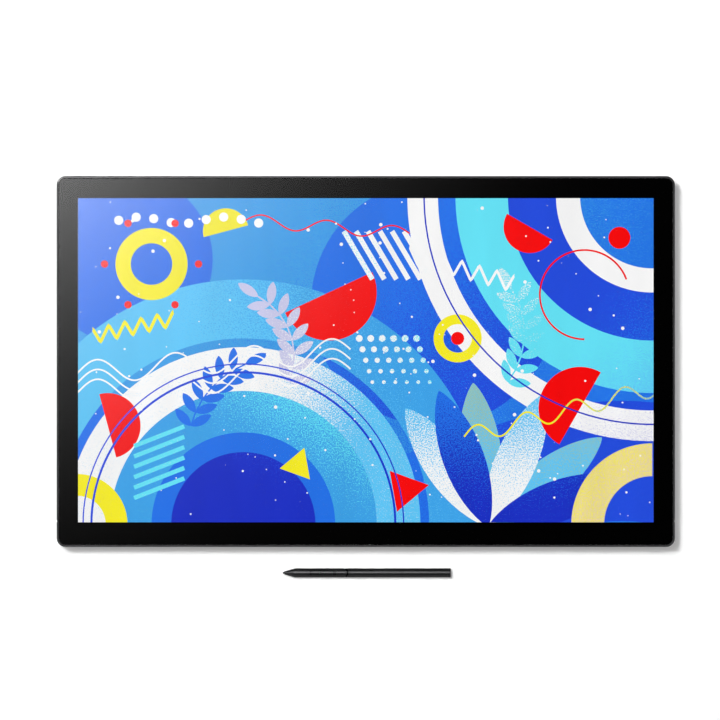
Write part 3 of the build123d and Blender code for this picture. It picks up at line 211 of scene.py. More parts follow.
class Effects:
    """The shader effects that several finishes share, each built once."""

    pit_scale: float = 0.6
    pit_weight: float = 0.5
    fine_weight: float = 0.6
    broad_scale: float = 0.012
    broad_tone: float = 0.7
    fine_tone: float = 0.3
    smear_range: tuple[float, float] = (0.35, 0.7)
    edge_range: tuple[float, float] = (0.985, 0.8)
    drop_range: tuple[float, float] = (0.28, 0.72)
    drop_share_range: tuple[float, float] = (0.02, 0.98)
    streak_weight: float = 0.55
    patch_weight: float = 0.45
    patch_scale: float = 0.3

    def __init__(self) -> None:
        """Build every effect."""
        self.grain = self.build_grain()
        self.handling = self.build_handling()
        self.soft_edge = self.build_soft_edge()
        self.spray = self.build_spray()
        self.bristle = self.build_bristle()

    @staticmethod
    def start(name: str, inputs: dict, **outputs: str,
              ) -> tuple[Graph, bpy.types.Node, bpy.types.Node]:
        """Open a new effect.

        Args:
            name: Its name.
            inputs: Input name to the value that it starts with.
            **outputs: Name and kind of each output, such as Float.

        Returns:
            The effect's graph, its input node and its output node.
        """
        graph = Graph(bpy.data.node_groups.new(name, "ShaderNodeTree"))
        sockets = graph.tree.interface
        for label, value in inputs.items():
            kind = "NodeSocketVector" if isinstance(value, tuple) else "NodeSocketFloat"
            socket = sockets.new_socket(name=label, in_out="INPUT", socket_type=kind)
            socket.default_value = value
        for label, kind in outputs.items():
            sockets.new_socket(name=label, in_out="OUTPUT", socket_type="NodeSocket" + kind)
        return graph, graph.node("NodeGroupInput"), graph.node("NodeGroupOutput")

    def build_grain(self) -> bpy.types.NodeTree:
        """Fine leathery grain of moulded or painted surfaces."""
        graph, entry, leave = self.start(
            "surface_grain", {"Vector": (0.0, 0.0, 0.0), "Waves": 3000.0}, Height="Float",
            Tone="Float")
        place, waves = entry.outputs["Vector"], entry.outputs["Waves"]
        fine = graph.noise(place, waves, 1.0)
        pits = graph.node("ShaderNodeTexVoronoi", {
            "Vector": place, "Scale": graph.math("MULTIPLY", waves, self.pit_scale)})
        broad = graph.noise(place, graph.math("MULTIPLY", waves, self.broad_scale), 3.0)
        graph.feed(leave, {
            "Height": graph.weigh(fine, self.fine_weight, pits.outputs["Distance"],
                                  self.pit_weight),
            "Tone": graph.weigh(broad, self.broad_tone, fine, self.fine_tone)})
        return graph.tree

    def build_handling(self) -> bpy.types.NodeTree:
        """Broad uneven sheen that hands and cloths leave."""
        graph, entry, leave = self.start(
            "handling", {"Vector": (0.0, 0.0, 0.0), "Waves": 30.0}, Mask="Float")
        smears = graph.noise(entry.outputs["Vector"], entry.outputs["Waves"], 4.0)
        graph.feed(leave, {"Mask": graph.spread(smears, *self.smear_range)})
        return graph.tree

    def build_soft_edge(self) -> bpy.types.NodeTree:
        """Rounded look of sharp edges, and a mask of where they are."""
        graph, entry, leave = self.start("soft_edge", {"Radius": 0.0003}, Normal="Vector",
                                         Edge="Float")
        bevel = graph.node("ShaderNodeBevel", {"Radius": entry.outputs["Radius"]}, samples=4)
        flat = graph.node("ShaderNodeNewGeometry").outputs["Normal"]
        facing = graph.vector("DOT_PRODUCT", bevel.outputs[0], flat, "Value")
        graph.feed(leave, {"Normal": bevel.outputs[0],
                           "Edge": graph.spread(facing, *self.edge_range)})
        return graph.tree

    def build_spray(self) -> bpy.types.NodeTree:
        """Grainy change from one paint to another along a line."""
        graph, entry, leave = self.start(
            "spray", {"Vector": (0.0, 0.0, 0.0), "Along": (1.0, 0.0, 0.0), "Start": 0.0,
                      "End": 0.1, "Waves": 900.0, "Hardness": 3.0}, Mask="Float")
        given = entry.outputs
        along = graph.vector("DOT_PRODUCT", given["Vector"], given["Along"], "Value")
        ramp = graph.spread(along, given["Start"], given["End"])
        drops = graph.spread(graph.noise(given["Vector"], given["Waves"], 1.0),
                             *self.drop_range, *self.drop_share_range)
        step = graph.math("MULTIPLY", graph.math("SUBTRACT", ramp, drops), given["Hardness"])
        graph.feed(leave, {"Mask": graph.math("ADD", step, 0.5, clamp=True)})
        return graph.tree

    def build_bristle(self) -> bpy.types.NodeTree:
        """Faint streaks that a broad brush leaves."""
        graph, entry, leave = self.start(
            "bristle", {"Vector": (0.0, 0.0, 0.0), "Waves": 40.0}, Tone="Float")
        place, waves = entry.outputs["Vector"], entry.outputs["Waves"]
        streaks = graph.noise(place, waves, 5.0)
        patches = graph.noise(place, graph.math("MULTIPLY", waves, self.patch_scale), 2.0)
        graph.feed(leave, {"Tone": graph.weigh(streaks, self.streak_weight, patches,
                                               self.patch_weight)})
        return graph.tree


EFFECTS = Effects()


class Finish(ABC):
    """A finish that can be turned into a material."""

    name: str

    def material(self) -> bpy.types.Material:
        """Build the material, with its shader joined to its output.

        Returns:
            The new material.
        """
        made = bpy.data.materials.new(self.name)
        graph = emptied(made)
        shader = graph.node("ShaderNodeBsdfPrincipled")
        graph.node("ShaderNodeOutputMaterial", {"Surface": shader.outputs[0]})
        self.dress(graph, shader)
        return made

    @abstractmethod
    def dress(self, graph: Graph, shader: bpy.types.Node) -> None:
        """Give the shader its values and patterns.

        Args:
            graph: The material's nodes.
            shader: Its shader.
        """


@dataclass(frozen=True)
class GrainedFinish(Finish):
    """Moulded plastic, paint or rubber with grain, sheen and soft edges."""

    name: str
    colour: Colour
    roughness: float
    specular: float = 0.5
    grain_mm: float = 0.3
    grain_depth_mm: float = 0.01
    tone_spread_share: float = 0.12
    sheen_spread: float = 0.06
    edge_mm: float = 0.2
    edge_gain: float = 0.25
    metallic: float = 0.0
    edge_tint: float = 1.0
    glow: float = 0.0
    # How much lighter the edges are painted, as painted highlight and as wear.
    edge_highlight_and_wear_gain: float = 2.2

    def dress(self, graph: Graph, shader: bpy.types.Node) -> None:
        """Grain and broad sheen, with edges painted lighter: partly a painted edge highlight,
        partly wear.
        """
        place = graph.place()
        grain = graph.effect(EFFECTS.grain, {"Vector": place,
                                             "Waves": 1.0 / (self.grain_mm * MM)})
        sheen = graph.effect(EFFECTS.handling, {"Vector": place})
        edge = graph.effect(EFFECTS.soft_edge, {"Radius": self.edge_mm * MM})
        tone = graph.mix(grain.outputs["Tone"],
                         scaled(self.colour, 1 - self.tone_spread_share),
                         scaled(self.colour, 1 + self.tone_spread_share))
        # Edges are painted lighter: partly a painted edge highlight, partly wear.
        edge_highlight_and_wear = graph.math("MULTIPLY", edge.outputs["Edge"], self.edge_gain)
        graph.feed(shader, {
            "Base Color": graph.mix(edge_highlight_and_wear, tone, scaled(self.colour, self.edge_highlight_and_wear_gain)),
            "Metallic": self.metallic,
            "Roughness": graph.spread(sheen.outputs["Mask"], 0.0, 1.0,
                                      self.roughness + self.sheen_spread,
                                      self.roughness - self.sheen_spread),
            "Specular IOR Level": self.specular,
            "Specular Tint": (self.edge_tint, self.edge_tint, self.edge_tint, 1.0),
            "Emission Color": self.colour,
            "Emission Strength": self.glow,
            "Normal": graph.bump(grain.outputs["Height"], self.grain_depth_mm,
                                 edge.outputs["Normal"])})


@dataclass(frozen=True)
class BrushedMetal(Finish):
    """Bare metal with brush lines, or with the broad crystals of zinc."""

    name: str
    colour: Colour
    roughness: float
    line_mm: float = 0.12
    line_stretch: float = 40.0
    crystal_mm: float = 0.0
    edge_mm: float = 0.15
    line_depth_mm: float = 0.004
    line_tones: tuple[float, float] = (0.85, 1.12)
    crystal_share: float = 0.5
    crystal_tone: float = 0.7
    line_range: tuple[float, float] = (0.2, 0.8)
    roughness_steps: tuple[float, float] = (-0.06, 0.08)

    def dress(self, graph: Graph, shader: bpy.types.Node) -> None:
        """Brush lines in colour, roughness and bump."""
        place = graph.place()
        along = graph.turned(place, 0.0, (1.0 / self.line_stretch, 1.0, 1.0))
        lines = graph.noise(along, 1.0 / (self.line_mm * MM), 3.0)
        edge = graph.effect(EFFECTS.soft_edge, {"Radius": self.edge_mm * MM})
        colour = graph.mix(lines, *(scaled(self.colour, tone) for tone in self.line_tones))
        if self.crystal_mm:
            cells = graph.node("ShaderNodeTexVoronoi", {
                "Vector": place, "Scale": 1.0 / (self.crystal_mm * MM)})
            shade = graph.first_share(cells.outputs["Color"])
            colour = graph.mix(graph.math("MULTIPLY", shade, self.crystal_share), colour,
                               scaled(self.colour, self.crystal_tone))
        graph.feed(shader, {
            "Base Color": colour,
            "Metallic": 1.0,
            "Roughness": graph.spread(lines, *self.line_range, *(
                self.roughness + step for step in self.roughness_steps)),
            "Normal": graph.bump(lines, self.line_depth_mm, edge.outputs["Normal"])})


@dataclass(frozen=True)
class CoverGlass(Finish):
    """Coated, very finely etched glass."""

    name: str = "etched_cover_glass"
    specular: float = 0.11
    roughness: float = 0.025
    etch_mm: float = 0.4
    refraction: float = 1.5
    etch_range: tuple[float, float] = (0.3, 0.7)
    etch_gains: tuple[float, float] = (0.7, 1.3)

    def dress(self, graph: Graph, shader: bpy.types.Node) -> None:
        """Clear glass whose roughness wavers a little with the etching."""
        etch = graph.noise(graph.place(), 1.0 / (self.etch_mm * MM), 2.0)
        graph.feed(shader, {
            "Base Color": (1.0, 1.0, 1.0, 1.0),
            "Transmission Weight": 1.0,
            "IOR": self.refraction,
            "Specular IOR Level": self.specular,
            "Roughness": graph.spread(etch, *self.etch_range, *(
                self.roughness * gain for gain in self.etch_gains))})


@dataclass(frozen=True)
class InkPrint(Finish):
    """Black ink under glass: no gloss of its own, with a trace of screen-printing."""

    name: str = "border_ink"
    colour: Colour = (0.0006, 0.0006, 0.0007, 1.0)
    weave_mm: float = 0.4
    weave_tones: tuple[float, float] = (0.7, 1.3)
    roughness: float = 0.6

    def dress(self, graph: Graph, shader: bpy.types.Node) -> None:
        """Almost even black."""
        weave = graph.noise(graph.place(), 1.0 / (self.weave_mm * MM), 1.0)
        graph.feed(shader, {
            "Base Color": graph.mix(weave, *(scaled(self.colour, tone)
                                             for tone in self.weave_tones)),
            "Specular IOR Level": 0.0,
            "Roughness": self.roughness})


@dataclass(frozen=True)
class CircuitFinish(Finish):
    """Solder mask with copper tracks under it and bright pads."""

    name: str = "circuit_board"
    mask: Colour = (0.008, 0.07, 0.03, 1.0)
    track: Colour = (0.02, 0.14, 0.06, 1.0)
    pad: Colour = (0.72, 0.7, 0.66, 1.0)
    track_cell_mm: float = 5.2
    track_step: float = 0.11
    track_edge: tuple[float, float] = (0.045, 0.055)
    track_height_mm: float = 0.03
    pad_pitch_mm: float = 2.4
    pad_reach: float = 0.16
    area_waves: float = 90.0
    area_start: float = 0.56
    mask_roughness: float = 0.35
    pad_roughness: float = 0.22

    def dress(self, graph: Graph, shader: bpy.types.Node) -> None:
        """Square-cornered tracks from stepped noise, and pads on a raster."""
        place = graph.place()
        steps = graph.node("ShaderNodeTexVoronoi", {
            "Vector": place, "Scale": 1.0 / (self.track_cell_mm * MM)}, distance="CHEBYCHEV")
        rings = graph.math("PINGPONG", steps.outputs["Distance"], self.track_step)
        tracks = graph.spread(rings, *self.track_edge)
        raster = graph.node("ShaderNodeTexVoronoi", {
            "Vector": place, "Scale": 1.0 / (self.pad_pitch_mm * MM), "Randomness": 0.0},
            distance="CHEBYCHEV")
        pads = graph.math("LESS_THAN", raster.outputs["Distance"], self.pad_reach)
        areas = graph.math("GREATER_THAN", graph.noise(place, self.area_waves, 1.0),
                           self.area_start)
        pads = graph.math("MULTIPLY", pads, areas)
        graph.feed(shader, {
            "Base Color": graph.mix(pads, graph.mix(tracks, self.mask, self.track), self.pad),
            "Metallic": pads,
            "Roughness": graph.spread(pads, 0.0, 1.0, self.mask_roughness, self.pad_roughness),
            "Normal": graph.bump(tracks, self.track_height_mm)})


@dataclass(frozen=True)
class LineFinish(Finish):
    """Fine parallel lines across X: the turns of a winding, or the tracks of a flexible circuit."""

    name: str
    colour: Colour
    dark: Colour
    line_mm: float
    roughness: float
    metallic: float = 0.0
    line_height_mm: float = 0.03
    cloud_waves: float = 120.0
    cloud_share: float = 0.3
    cloud_tone: float = 0.6
    line_waver: float = 0.15

    def dress(self, graph: Graph, shader: bpy.types.Node) -> None:
        """Lines in colour and bump, a little uneven."""
        place = graph.place()
        wave = graph.node("ShaderNodeTexWave", {
            "Vector": place, "Scale": 1.0 / (self.line_mm * MM * WAVE_GAIN) * math.tau,
            "Distortion": self.line_waver})
        lines = wave.outputs["Fac"]
        cloud = graph.math("MULTIPLY", graph.noise(place, self.cloud_waves, 2.0),
                           self.cloud_share)
        graph.feed(shader, {
            "Base Color": graph.mix(cloud, graph.mix(lines, self.dark, self.colour),
                                    scaled(self.colour, self.cloud_tone)),
            "Metallic": self.metallic,
            "Roughness": self.roughness,
            "Normal": graph.bump(lines, self.line_height_mm)})


@dataclass(frozen=True)
class PaintedLight(Finish):
    """One paint of the lit picture: two tones with brush streaks, a spray and speckles."""

    name: str
    first: Colour
    second: Colour
    turn: float = 0.0
    start_mm: float = -100.0
    end_mm: float = 100.0
    hardness: float = 3.0
    drop_mm: float = 1.1
    speckles: float = 0.0
    speckle_colour: Colour = (0.9, 0.95, 1.0, 1.0)
    speckle_waves: float = 150.0
    speckle_reach: float = 0.13
    streak_share: float = 0.08
    streak_stretch: float = 0.18
    streak_range: tuple[float, float] = (0.3, 0.7)
    light_streak_gain: float = 0.5
    roughness: float = 0.5

    def dress(self, graph: Graph, shader: bpy.types.Node) -> None:
        """Light from the panel in the paint's colours."""
        place = graph.place()
        angle = math.radians(self.turn)
        spray = graph.effect(EFFECTS.spray, {
            "Vector": place, "Along": (math.cos(angle), math.sin(angle), 0.0),
            "Start": self.start_mm * MM, "End": self.end_mm * MM,
            "Waves": 1.0 / (self.drop_mm * MM), "Hardness": self.hardness})
        streaks = graph.effect(EFFECTS.bristle, {
            "Vector": graph.turned(place, -self.turn, (1.0, self.streak_stretch, 1.0))})
        colour = graph.mix(spray.outputs["Mask"], self.first, self.second)
        tone = graph.spread(streaks.outputs["Tone"], *self.streak_range, 1.0 - self.streak_share,
                            1.0 + self.streak_share * self.light_streak_gain)
        grey_tone = graph.node("ShaderNodeCombineColor", {0: tone, 1: tone, 2: tone}).outputs[0]
        colour = graph.mix(1.0, colour, grey_tone, "MULTIPLY")
        if self.speckles:
            cells = graph.node("ShaderNodeTexVoronoi", {"Vector": place,
                                                        "Scale": self.speckle_waves})
            size = graph.first_share(cells.outputs["Color"])
            reach = graph.spread(size, 1.0 - self.speckles, 1.0, 0.0, self.speckle_reach)
            spots = graph.math("LESS_THAN", cells.outputs["Distance"], reach)
            colour = graph.mix(spots, colour, self.speckle_colour)
        graph.feed(shader, {
            "Base Color": (0.0, 0.0, 0.0, 1.0),
            "Roughness": self.roughness,
            "Specular IOR Level": 0.0,
            "Emission Color": colour,
            "Emission Strength": 1.0})


def grey(tone: float) -> Colour:
    """Nearly neutral grey or black of a plastic or a paint."""
    return srgb(tone, tone, tone + 1)


def frame_paint(name: str, tone: float) -> GrainedFinish:
    """Smooth paint of the metal frame."""
    return GrainedFinish(name, grey(tone), 0.2, 0.4, 0.22, 0.003, 0.08, 0.03, 0.15, 0.2)


def pen_satin(name: str, tone: float = 65, roughness: float = 0.37, grain_mm: float = 0.14,
              grain_depth_mm: float = 0.003, edge_mm: float = 0.04, edge_gain: float = 0.1,
              edge_tint: float = 0.0) -> GrainedFinish:
    """Satin black of the pen."""
    return GrainedFinish(name, grey(tone), roughness, 0.5, grain_mm, grain_depth_mm, 0.1, 0.03,
                         edge_mm, edge_gain, 1.0, edge_tint)


FINISHES: dict[str, Finish] = {
    "cover_glass": CoverGlass(),
    "black_print": InkPrint(),
    "black_foam": GrainedFinish("tape_foam", srgb(14, 14, 14), 0.9, 0.1, 0.5, 0.05),
    "frame_upper": frame_paint("upper_frame_paint", 52),
    "frame_lower": frame_paint("lower_frame_paint", 58),
    "screw_steel": BrushedMetal("zinc_plated_steel", (0.56, 0.56, 0.57, 1.0), 0.3),
    "panel_glass": GrainedFinish("panel_cell", srgb(30, 32, 36), 0.2, 0.5, 0.9, 0.002),
    "optical_film": GrainedFinish("optical_film", srgb(232, 236, 240), 0.25, 0.5, 0.3, 0.004),
    "guide_acrylic": GrainedFinish("guide_acrylic", srgb(226, 236, 238), 0.12, 0.5, 1.4, 0.004),
    "white_film": GrainedFinish("reflector_film", srgb(236, 236, 234), 0.5, 0.5, 0.4, 0.005),
    "led_strip": GrainedFinish("lamp_strip", srgb(240, 232, 190), 0.4, 0.5, 0.6, 0.01),
    "zinc_sheet": BrushedMetal("zinc_sheet", (0.5, 0.51, 0.53, 1.0), 0.42, 0.3, 12.0, 9.0),
    "circuit_board": CircuitFinish(),
    "flex_film": LineFinish("flexible_circuit", srgb(196, 128, 48), srgb(128, 70, 20), 0.9, 0.35),
    "chip_epoxy": GrainedFinish("chip_epoxy", grey(40), 0.6, 0.4, 0.15, 0.006),
    "heat_pad": GrainedFinish("heat_pad", srgb(150, 156, 164), 0.8, 0.3, 0.4, 0.03),
    "socket_steel": BrushedMetal("nickel_shell", (0.62, 0.61, 0.6, 1.0), 0.28, 0.1, 20.0),
    "socket_plastic": GrainedFinish("socket_plastic", grey(34), 0.5, 0.45, 0.2, 0.006),
    "button_plastic": GrainedFinish("power_key_plastic", grey(62), 0.42, 0.5, 0.2, 0.005),
    "light_pipe": GrainedFinish("light_pipe", srgb(206, 228, 255), 0.15, 0.5, 0.6, 0.003,
                                glow=0.9),
    "back_plastic": GrainedFinish("back_shell_plastic", grey(38), 0.56, 0.45, 0.45, 0.03, 0.1,
                                  0.05, 0.35, 0.3),
    "black_screw": GrainedFinish("black_screw", grey(40), 0.38, 0.5, 0.15, 0.004, metallic=0.6),
    "foot_rubber": GrainedFinish("foot_rubber", grey(30), 0.78, 0.3, 0.35, 0.03),
    "leg_aluminium": GrainedFinish("leg_anodised", srgb(70, 70, 72), 0.36, 0.5, 0.12, 0.003,
                                   0.08, 0.04, 0.25, 0.4, 0.85),
    "hinge_steel": BrushedMetal("hinge_steel", (0.42, 0.42, 0.43, 1.0), 0.35),
    "pen_grip": pen_satin("pen_grip_soft", grain_depth_mm=0.004),
    "pen_body": pen_satin("pen_body_satin"),
    "pen_cap": pen_satin("pen_cap_satin", edge_mm=0.15, edge_gain=0.3),
    # The seam ring is painted near-black, as painted shade of the groove at the pen's seam.
    "pen_gloss": GrainedFinish("pen_ring_black", grey(6), 0.85, 0.03, 0.8, 0.001, edge_mm=0.04,
                               edge_gain=0.0),
    # The trim plate is painted darker than the barrel, as painted shade in the gaps between the
    # side buttons.
    "pen_trim": pen_satin("pen_trim", 51, edge_tint=0.15),
    "pen_button": pen_satin("pen_button_satin", 65, 0.32, 0.12, edge_mm=0.25, edge_gain=0.3,
                            edge_tint=0.15),
    "pen_nib": GrainedFinish("nib_acetal", grey(30), 0.5, 0.5, 0.1, 0.003),
    "ferrite": GrainedFinish("ferrite", srgb(52, 49, 46), 0.55, 0.5, 0.2, 0.01),
    "copper_wire": LineFinish("copper_winding", srgb(214, 132, 74), srgb(96, 44, 20), 0.18, 0.3,
                              0.9),
}

CONTACT_GOLD = BrushedMetal("contact_gold", (0.83, 0.6, 0.26, 1.0), 0.24, 0.05, 12.0)
MARK_PAINT = GrainedFinish("mark_paint", srgb(196, 198, 200), 0.5, 0.4, 0.1, 0.001)


@dataclass(frozen=True)
class Studio:
    """Camera, lamps, floor and surroundings."""

    camera_x_mm: float = -5.3
    camera_y_mm: float = 15.65
    camera_z: float = 4.0448
    lens_mm: float = 220.0
    sensor_mm: float = 36.0
    lamp_x: float = -1.12
    lamp_y: float = 1.02
    lamp_z: float = 5.0
    lamp_radius: float = 2.444
    lamp_level: float = 55.2
    lamp_core_share: float = 0.27
    lamp_core_x: float = -0.47
    lamp_core_y: float = 0.51
    lamp_skirt: float = 1.2
    lamp_falloff: float = 6.85
    under_lamp_z: float = -2.5
    under_lamp_radius: float = 1.5
    under_lamp_level: float = 3.5
    floor_size: float = 60.0
    floor_white: float = 0.8
    floor_glow: float = 0.31
    floor_far_glow: float = 1.2
    ambient: float = 0.07
    clip_start: float = 0.1
    clip_end: float = 200.0
    core_edge: float = 0.02
    horizon_range: tuple[float, float] = (0.15, 0.7)
    ceiling_level: float = 0.015
    fill_height: float = 0.6
    fill_gains: tuple[float, float] = (3.0, 0.5)

    def build(self) -> None:
        """Set up everything that isn't part of the object."""
        bpy.context.scene.view_settings.view_transform = "Standard"
        self.camera()
        key = self.lamp("softbox", self.lamp_radius, self.lamp_level, self.lamp_core_share,
                        (self.lamp_core_x, self.lamp_core_y))
        key.location = (self.camera_x_mm * MM + self.lamp_x,
                        self.camera_y_mm * MM + self.lamp_y, self.lamp_z)
        under = self.lamp("under_lamp", self.under_lamp_radius, self.under_lamp_level, 1.0,
                          (0.0, 0.0))
        under.location = (0.0, 0.0, self.under_lamp_z)
        under.rotation_euler = (math.pi, 0.0, 0.0)
        self.world()
        self.floor()

    def camera(self) -> None:
        """Long lens straight above the object."""
        lens = bpy.data.cameras.new("overhead")
        lens.lens = self.lens_mm
        lens.sensor_width = self.sensor_mm
        lens.clip_start = self.clip_start
        lens.clip_end = self.clip_end
        camera = bpy.data.objects.new("overhead", lens)
        camera.location = (self.camera_x_mm * MM, self.camera_y_mm * MM, self.camera_z)
        bpy.context.scene.collection.objects.link(camera)
        bpy.context.scene.camera = camera

    def lamp(self, name: str, radius: float, level: float, core_share: float,
             core: tuple[float, float]) -> bpy.types.Object:
        """Round softbox with an even core and a skirt that darkens towards its edge.

        Args:
            name: The lamp's name.
            radius: Its radius in metres.
            level: Brightness of its core, where 1 is a white screen.
            core_share: Radius of the core, as a share of the lamp's.
            core: Middle of the core, in metres from the lamp's middle.

        Returns:
            The lamp, at the origin and pointing down.
        """
        light = bpy.data.lights.new(name, "AREA")
        light.shape = "DISK"
        light.size = 2 * radius
        light.energy = level * math.pi * math.pi * radius * radius
        graph = emptied(light)
        across = graph.node("ShaderNodeNewGeometry").outputs["Parametric"]
        share = self.reach(graph, across, (0.5, 0.5))
        middle = (0.5 + core[0] / (2 * radius), 0.5 + core[1] / (2 * radius))
        inside = graph.spread(self.reach(graph, across, middle), core_share,
                              core_share + self.core_edge, 1.0, 0.0)
        rest = graph.math("SUBTRACT", 1.0, share, clamp=True)
        skirt = graph.math("MULTIPLY", graph.math("POWER", rest, self.lamp_falloff),
                           self.lamp_skirt)
        outside = graph.math("MULTIPLY", graph.math("SUBTRACT", 1.0, inside), skirt)
        glow = graph.node("ShaderNodeEmission", {"Strength": graph.math("ADD", inside, outside)})
        graph.node("ShaderNodeOutputLight", {"Surface": glow.outputs[0]})
        made = bpy.data.objects.new(name, light)
        made.visible_camera = False
        bpy.context.scene.collection.objects.link(made)
        return made

    @staticmethod
    def reach(graph: Graph, across: Socket, middle: tuple[float, float]) -> Socket:
        """Distance from a point of the lamp, where its radius is 1.

        Args:
            graph: The lamp's nodes.
            across: Place on the lamp, from 0 to 1 on both axes.
            middle: The point, on the same axes.

        Returns:
            The distance.
        """
        offset = graph.vector("SUBTRACT", across, (*middle, 0.0))
        flat = graph.vector("MULTIPLY", offset, (2.0, 2.0, 0.0))
        return graph.vector("LENGTH", flat, output="Value")

    def world(self) -> None:
        """White for the camera, a bright horizon for gloss, and a plain fill."""
        bpy.context.scene.world = bpy.data.worlds.new("studio")
        graph = emptied(bpy.context.scene.world)
        path = graph.node("ShaderNodeLightPath").outputs
        direction = graph.node("ShaderNodeTexCoord").outputs["Generated"]
        height = graph.node("ShaderNodeSeparateXYZ", {0: direction}).outputs["Z"]
        height = graph.math("ABSOLUTE", height)
        horizon = graph.spread(height, *self.horizon_range, 1.0, self.ceiling_level)
        fill = graph.spread(height, 0.0, self.fill_height,
                            *(self.ambient * gain for gain in self.fill_gains))
        mirror = graph.math("MAXIMUM", path["Is Glossy Ray"], path["Is Transmission Ray"])
        seen = graph.math("MULTIPLY", mirror, horizon)
        plain = graph.math("MULTIPLY", graph.math("SUBTRACT", 1.0, mirror), fill)
        strength = graph.math("MAXIMUM", graph.math("ADD", seen, plain), path["Is Camera Ray"])
        back = graph.node("ShaderNodeBackground", {"Strength": strength})
        graph.node("ShaderNodeOutputWorld", {"Surface": back.outputs[0]})

    def floor(self) -> None:
        """White floor that takes the shadow, and that can't be seen from below."""
        bpy.ops.object.select_all(action="DESELECT")
        bpy.ops.mesh.primitive_plane_add(size=self.floor_size)
        ground = bpy.context.object
        ground.name = "floor"
        made = bpy.data.materials.new("floor_white")
        graph = emptied(made)
        path = graph.node("ShaderNodeLightPath").outputs
        away = graph.vector("LENGTH", graph.place(), output="Value")
        squared = graph.math("POWER", away, 2.0)
        lamp_squared = self.lamp_z ** 2
        share = graph.math("DIVIDE", lamp_squared, graph.math("ADD", squared, lamp_squared))
        lit = graph.math("POWER", share, 2.0)
        glow = graph.spread(lit, 0.0, 1.0, self.floor_far_glow, self.floor_glow)
        looks = graph.math("MAXIMUM", path["Is Camera Ray"], path["Is Glossy Ray"])
        looks = graph.math("MAXIMUM", looks, path["Is Transmission Ray"])
        emit = graph.node("ShaderNodeEmission", {"Strength": graph.math("MULTIPLY", glow, looks)})
        white = graph.node("ShaderNodeBsdfDiffuse", {
            "Color": (self.floor_white, self.floor_white, self.floor_white, 1.0)})
        both = graph.node("ShaderNodeAddShader", {0: white.outputs[0], 1: emit.outputs[0]})
        clear = graph.node("ShaderNodeBsdfTransparent")
        behind = graph.node("ShaderNodeNewGeometry").outputs["Backfacing"]
        through = graph.math("MAXIMUM", behind, path["Is Shadow Ray"])
        surface = graph.node("ShaderNodeMixShader", {0: through, 1: both.outputs[0],
                                                     2: clear.outputs[0]})
        graph.node("ShaderNodeOutputMaterial", {"Surface": surface.outputs[0]})
        ground.data.materials.append(made)


class Dresser:
    """Gives every carried-over node the finish of its material slot."""

    def __init__(self) -> None:
        """Build each material once."""
        self.materials = {slot: finish.material() for slot, finish in FINISHES.items()}
        self.slots = {row["node"]: row["material_slot"] for row in frame["record"]["subparts"]}

    def dress_nodes(self) -> None:
        """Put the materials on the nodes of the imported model."""
        for node, slot in self.slots.items():
            coat(frame["nodes"][node], self.materials[slot])


def coat(piece: bpy.types.Object, material: bpy.types.Material) -> None:
    """Give a piece its one material.

    Args:
        piece: The piece.
        material: Its material.
    """
    piece.data.materials.clear()
    piece.data.materials.append(material)
    LOG.info("coated %s", piece.name)


def edit(chosen: Callable[[bpy.types.MeshVertex], bool] | None = None) -> None:
    """Go into edit mode with vertices of the active mesh selected.

    Args:
        chosen: Says which vertices. Without it, they all are.
    """
    bpy.ops.object.mode_set(mode="EDIT")
    bpy.ops.mesh.select_mode(type="VERT")
    bpy.ops.mesh.select_all(action="DESELECT" if chosen else "SELECT")
    if chosen:
        bpy.ops.object.mode_set(mode="OBJECT")
        for vertex in bpy.context.object.data.vertices:
            vertex.select = chosen(vertex)
        bpy.ops.object.mode_set(mode="EDIT")


def solid_boxes(node: str) -> list[tuple[Vector, Vector]]:
    """Boxes of the separate solids of a node.

    Args:
        node: Name of the node.

    Returns:
        Low and high corner of each solid, in metres.
    """
    mesh = frame["nodes"][node].data
    owner: dict[tuple[float, ...], tuple[float, ...]] = {}

    def root(point: tuple[float, ...]) -> tuple[float, ...]:
        """Point that stands for the whole solid."""
        while owner.setdefault(point, point) != point:
            point = owner[point]
        return point

    points = [tuple(round(value, 6) for value in vertex.co) for vertex in mesh.vertices]
    for polygon in mesh.polygons:
        first = points[polygon.vertices[0]]
        for index in polygon.vertices:
            owner[root(points[index])] = root(first)
    solids: dict[tuple[float, ...], list[tuple[float, ...]]] = {}
    for point in points:
        solids.setdefault(root(point), []).append(point)
    return [tuple(Vector([end(axis) for axis in zip(*solid)]) for end in (min, max))
            for solid in solids.values()]


def copies(pattern: bpy.types.Object, name: str, places: list[Vector], body: str,
           material: bpy.types.Material) -> None:
    """Copy a modelled pattern to several places and join the copies as one piece.

    Args:
        pattern: The modelled shape, at the origin. It is used up.
        name: Name of the piece.
        places: Where the copies go, in metres.
        body: The body that the piece rides on.
        material: Its material.
    """
    bpy.ops.object.select_all(action="DESELECT")
    made = []
    for place in places:
        copy = pattern.copy()
        copy.data = pattern.data.copy()
        copy.data.transform(Matrix.Translation(place))
        bpy.context.scene.collection.objects.link(copy)
        copy.select_set(True)
        made.append(copy)
    bpy.context.view_layer.objects.active = made[0]
    if len(made) > 1:
        bpy.ops.object.join()
    piece = bpy.context.object
    piece.name = name
    piece.data.name = name
    coat(piece, material)
    bpy.data.objects.remove(pattern)
    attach(piece, body)


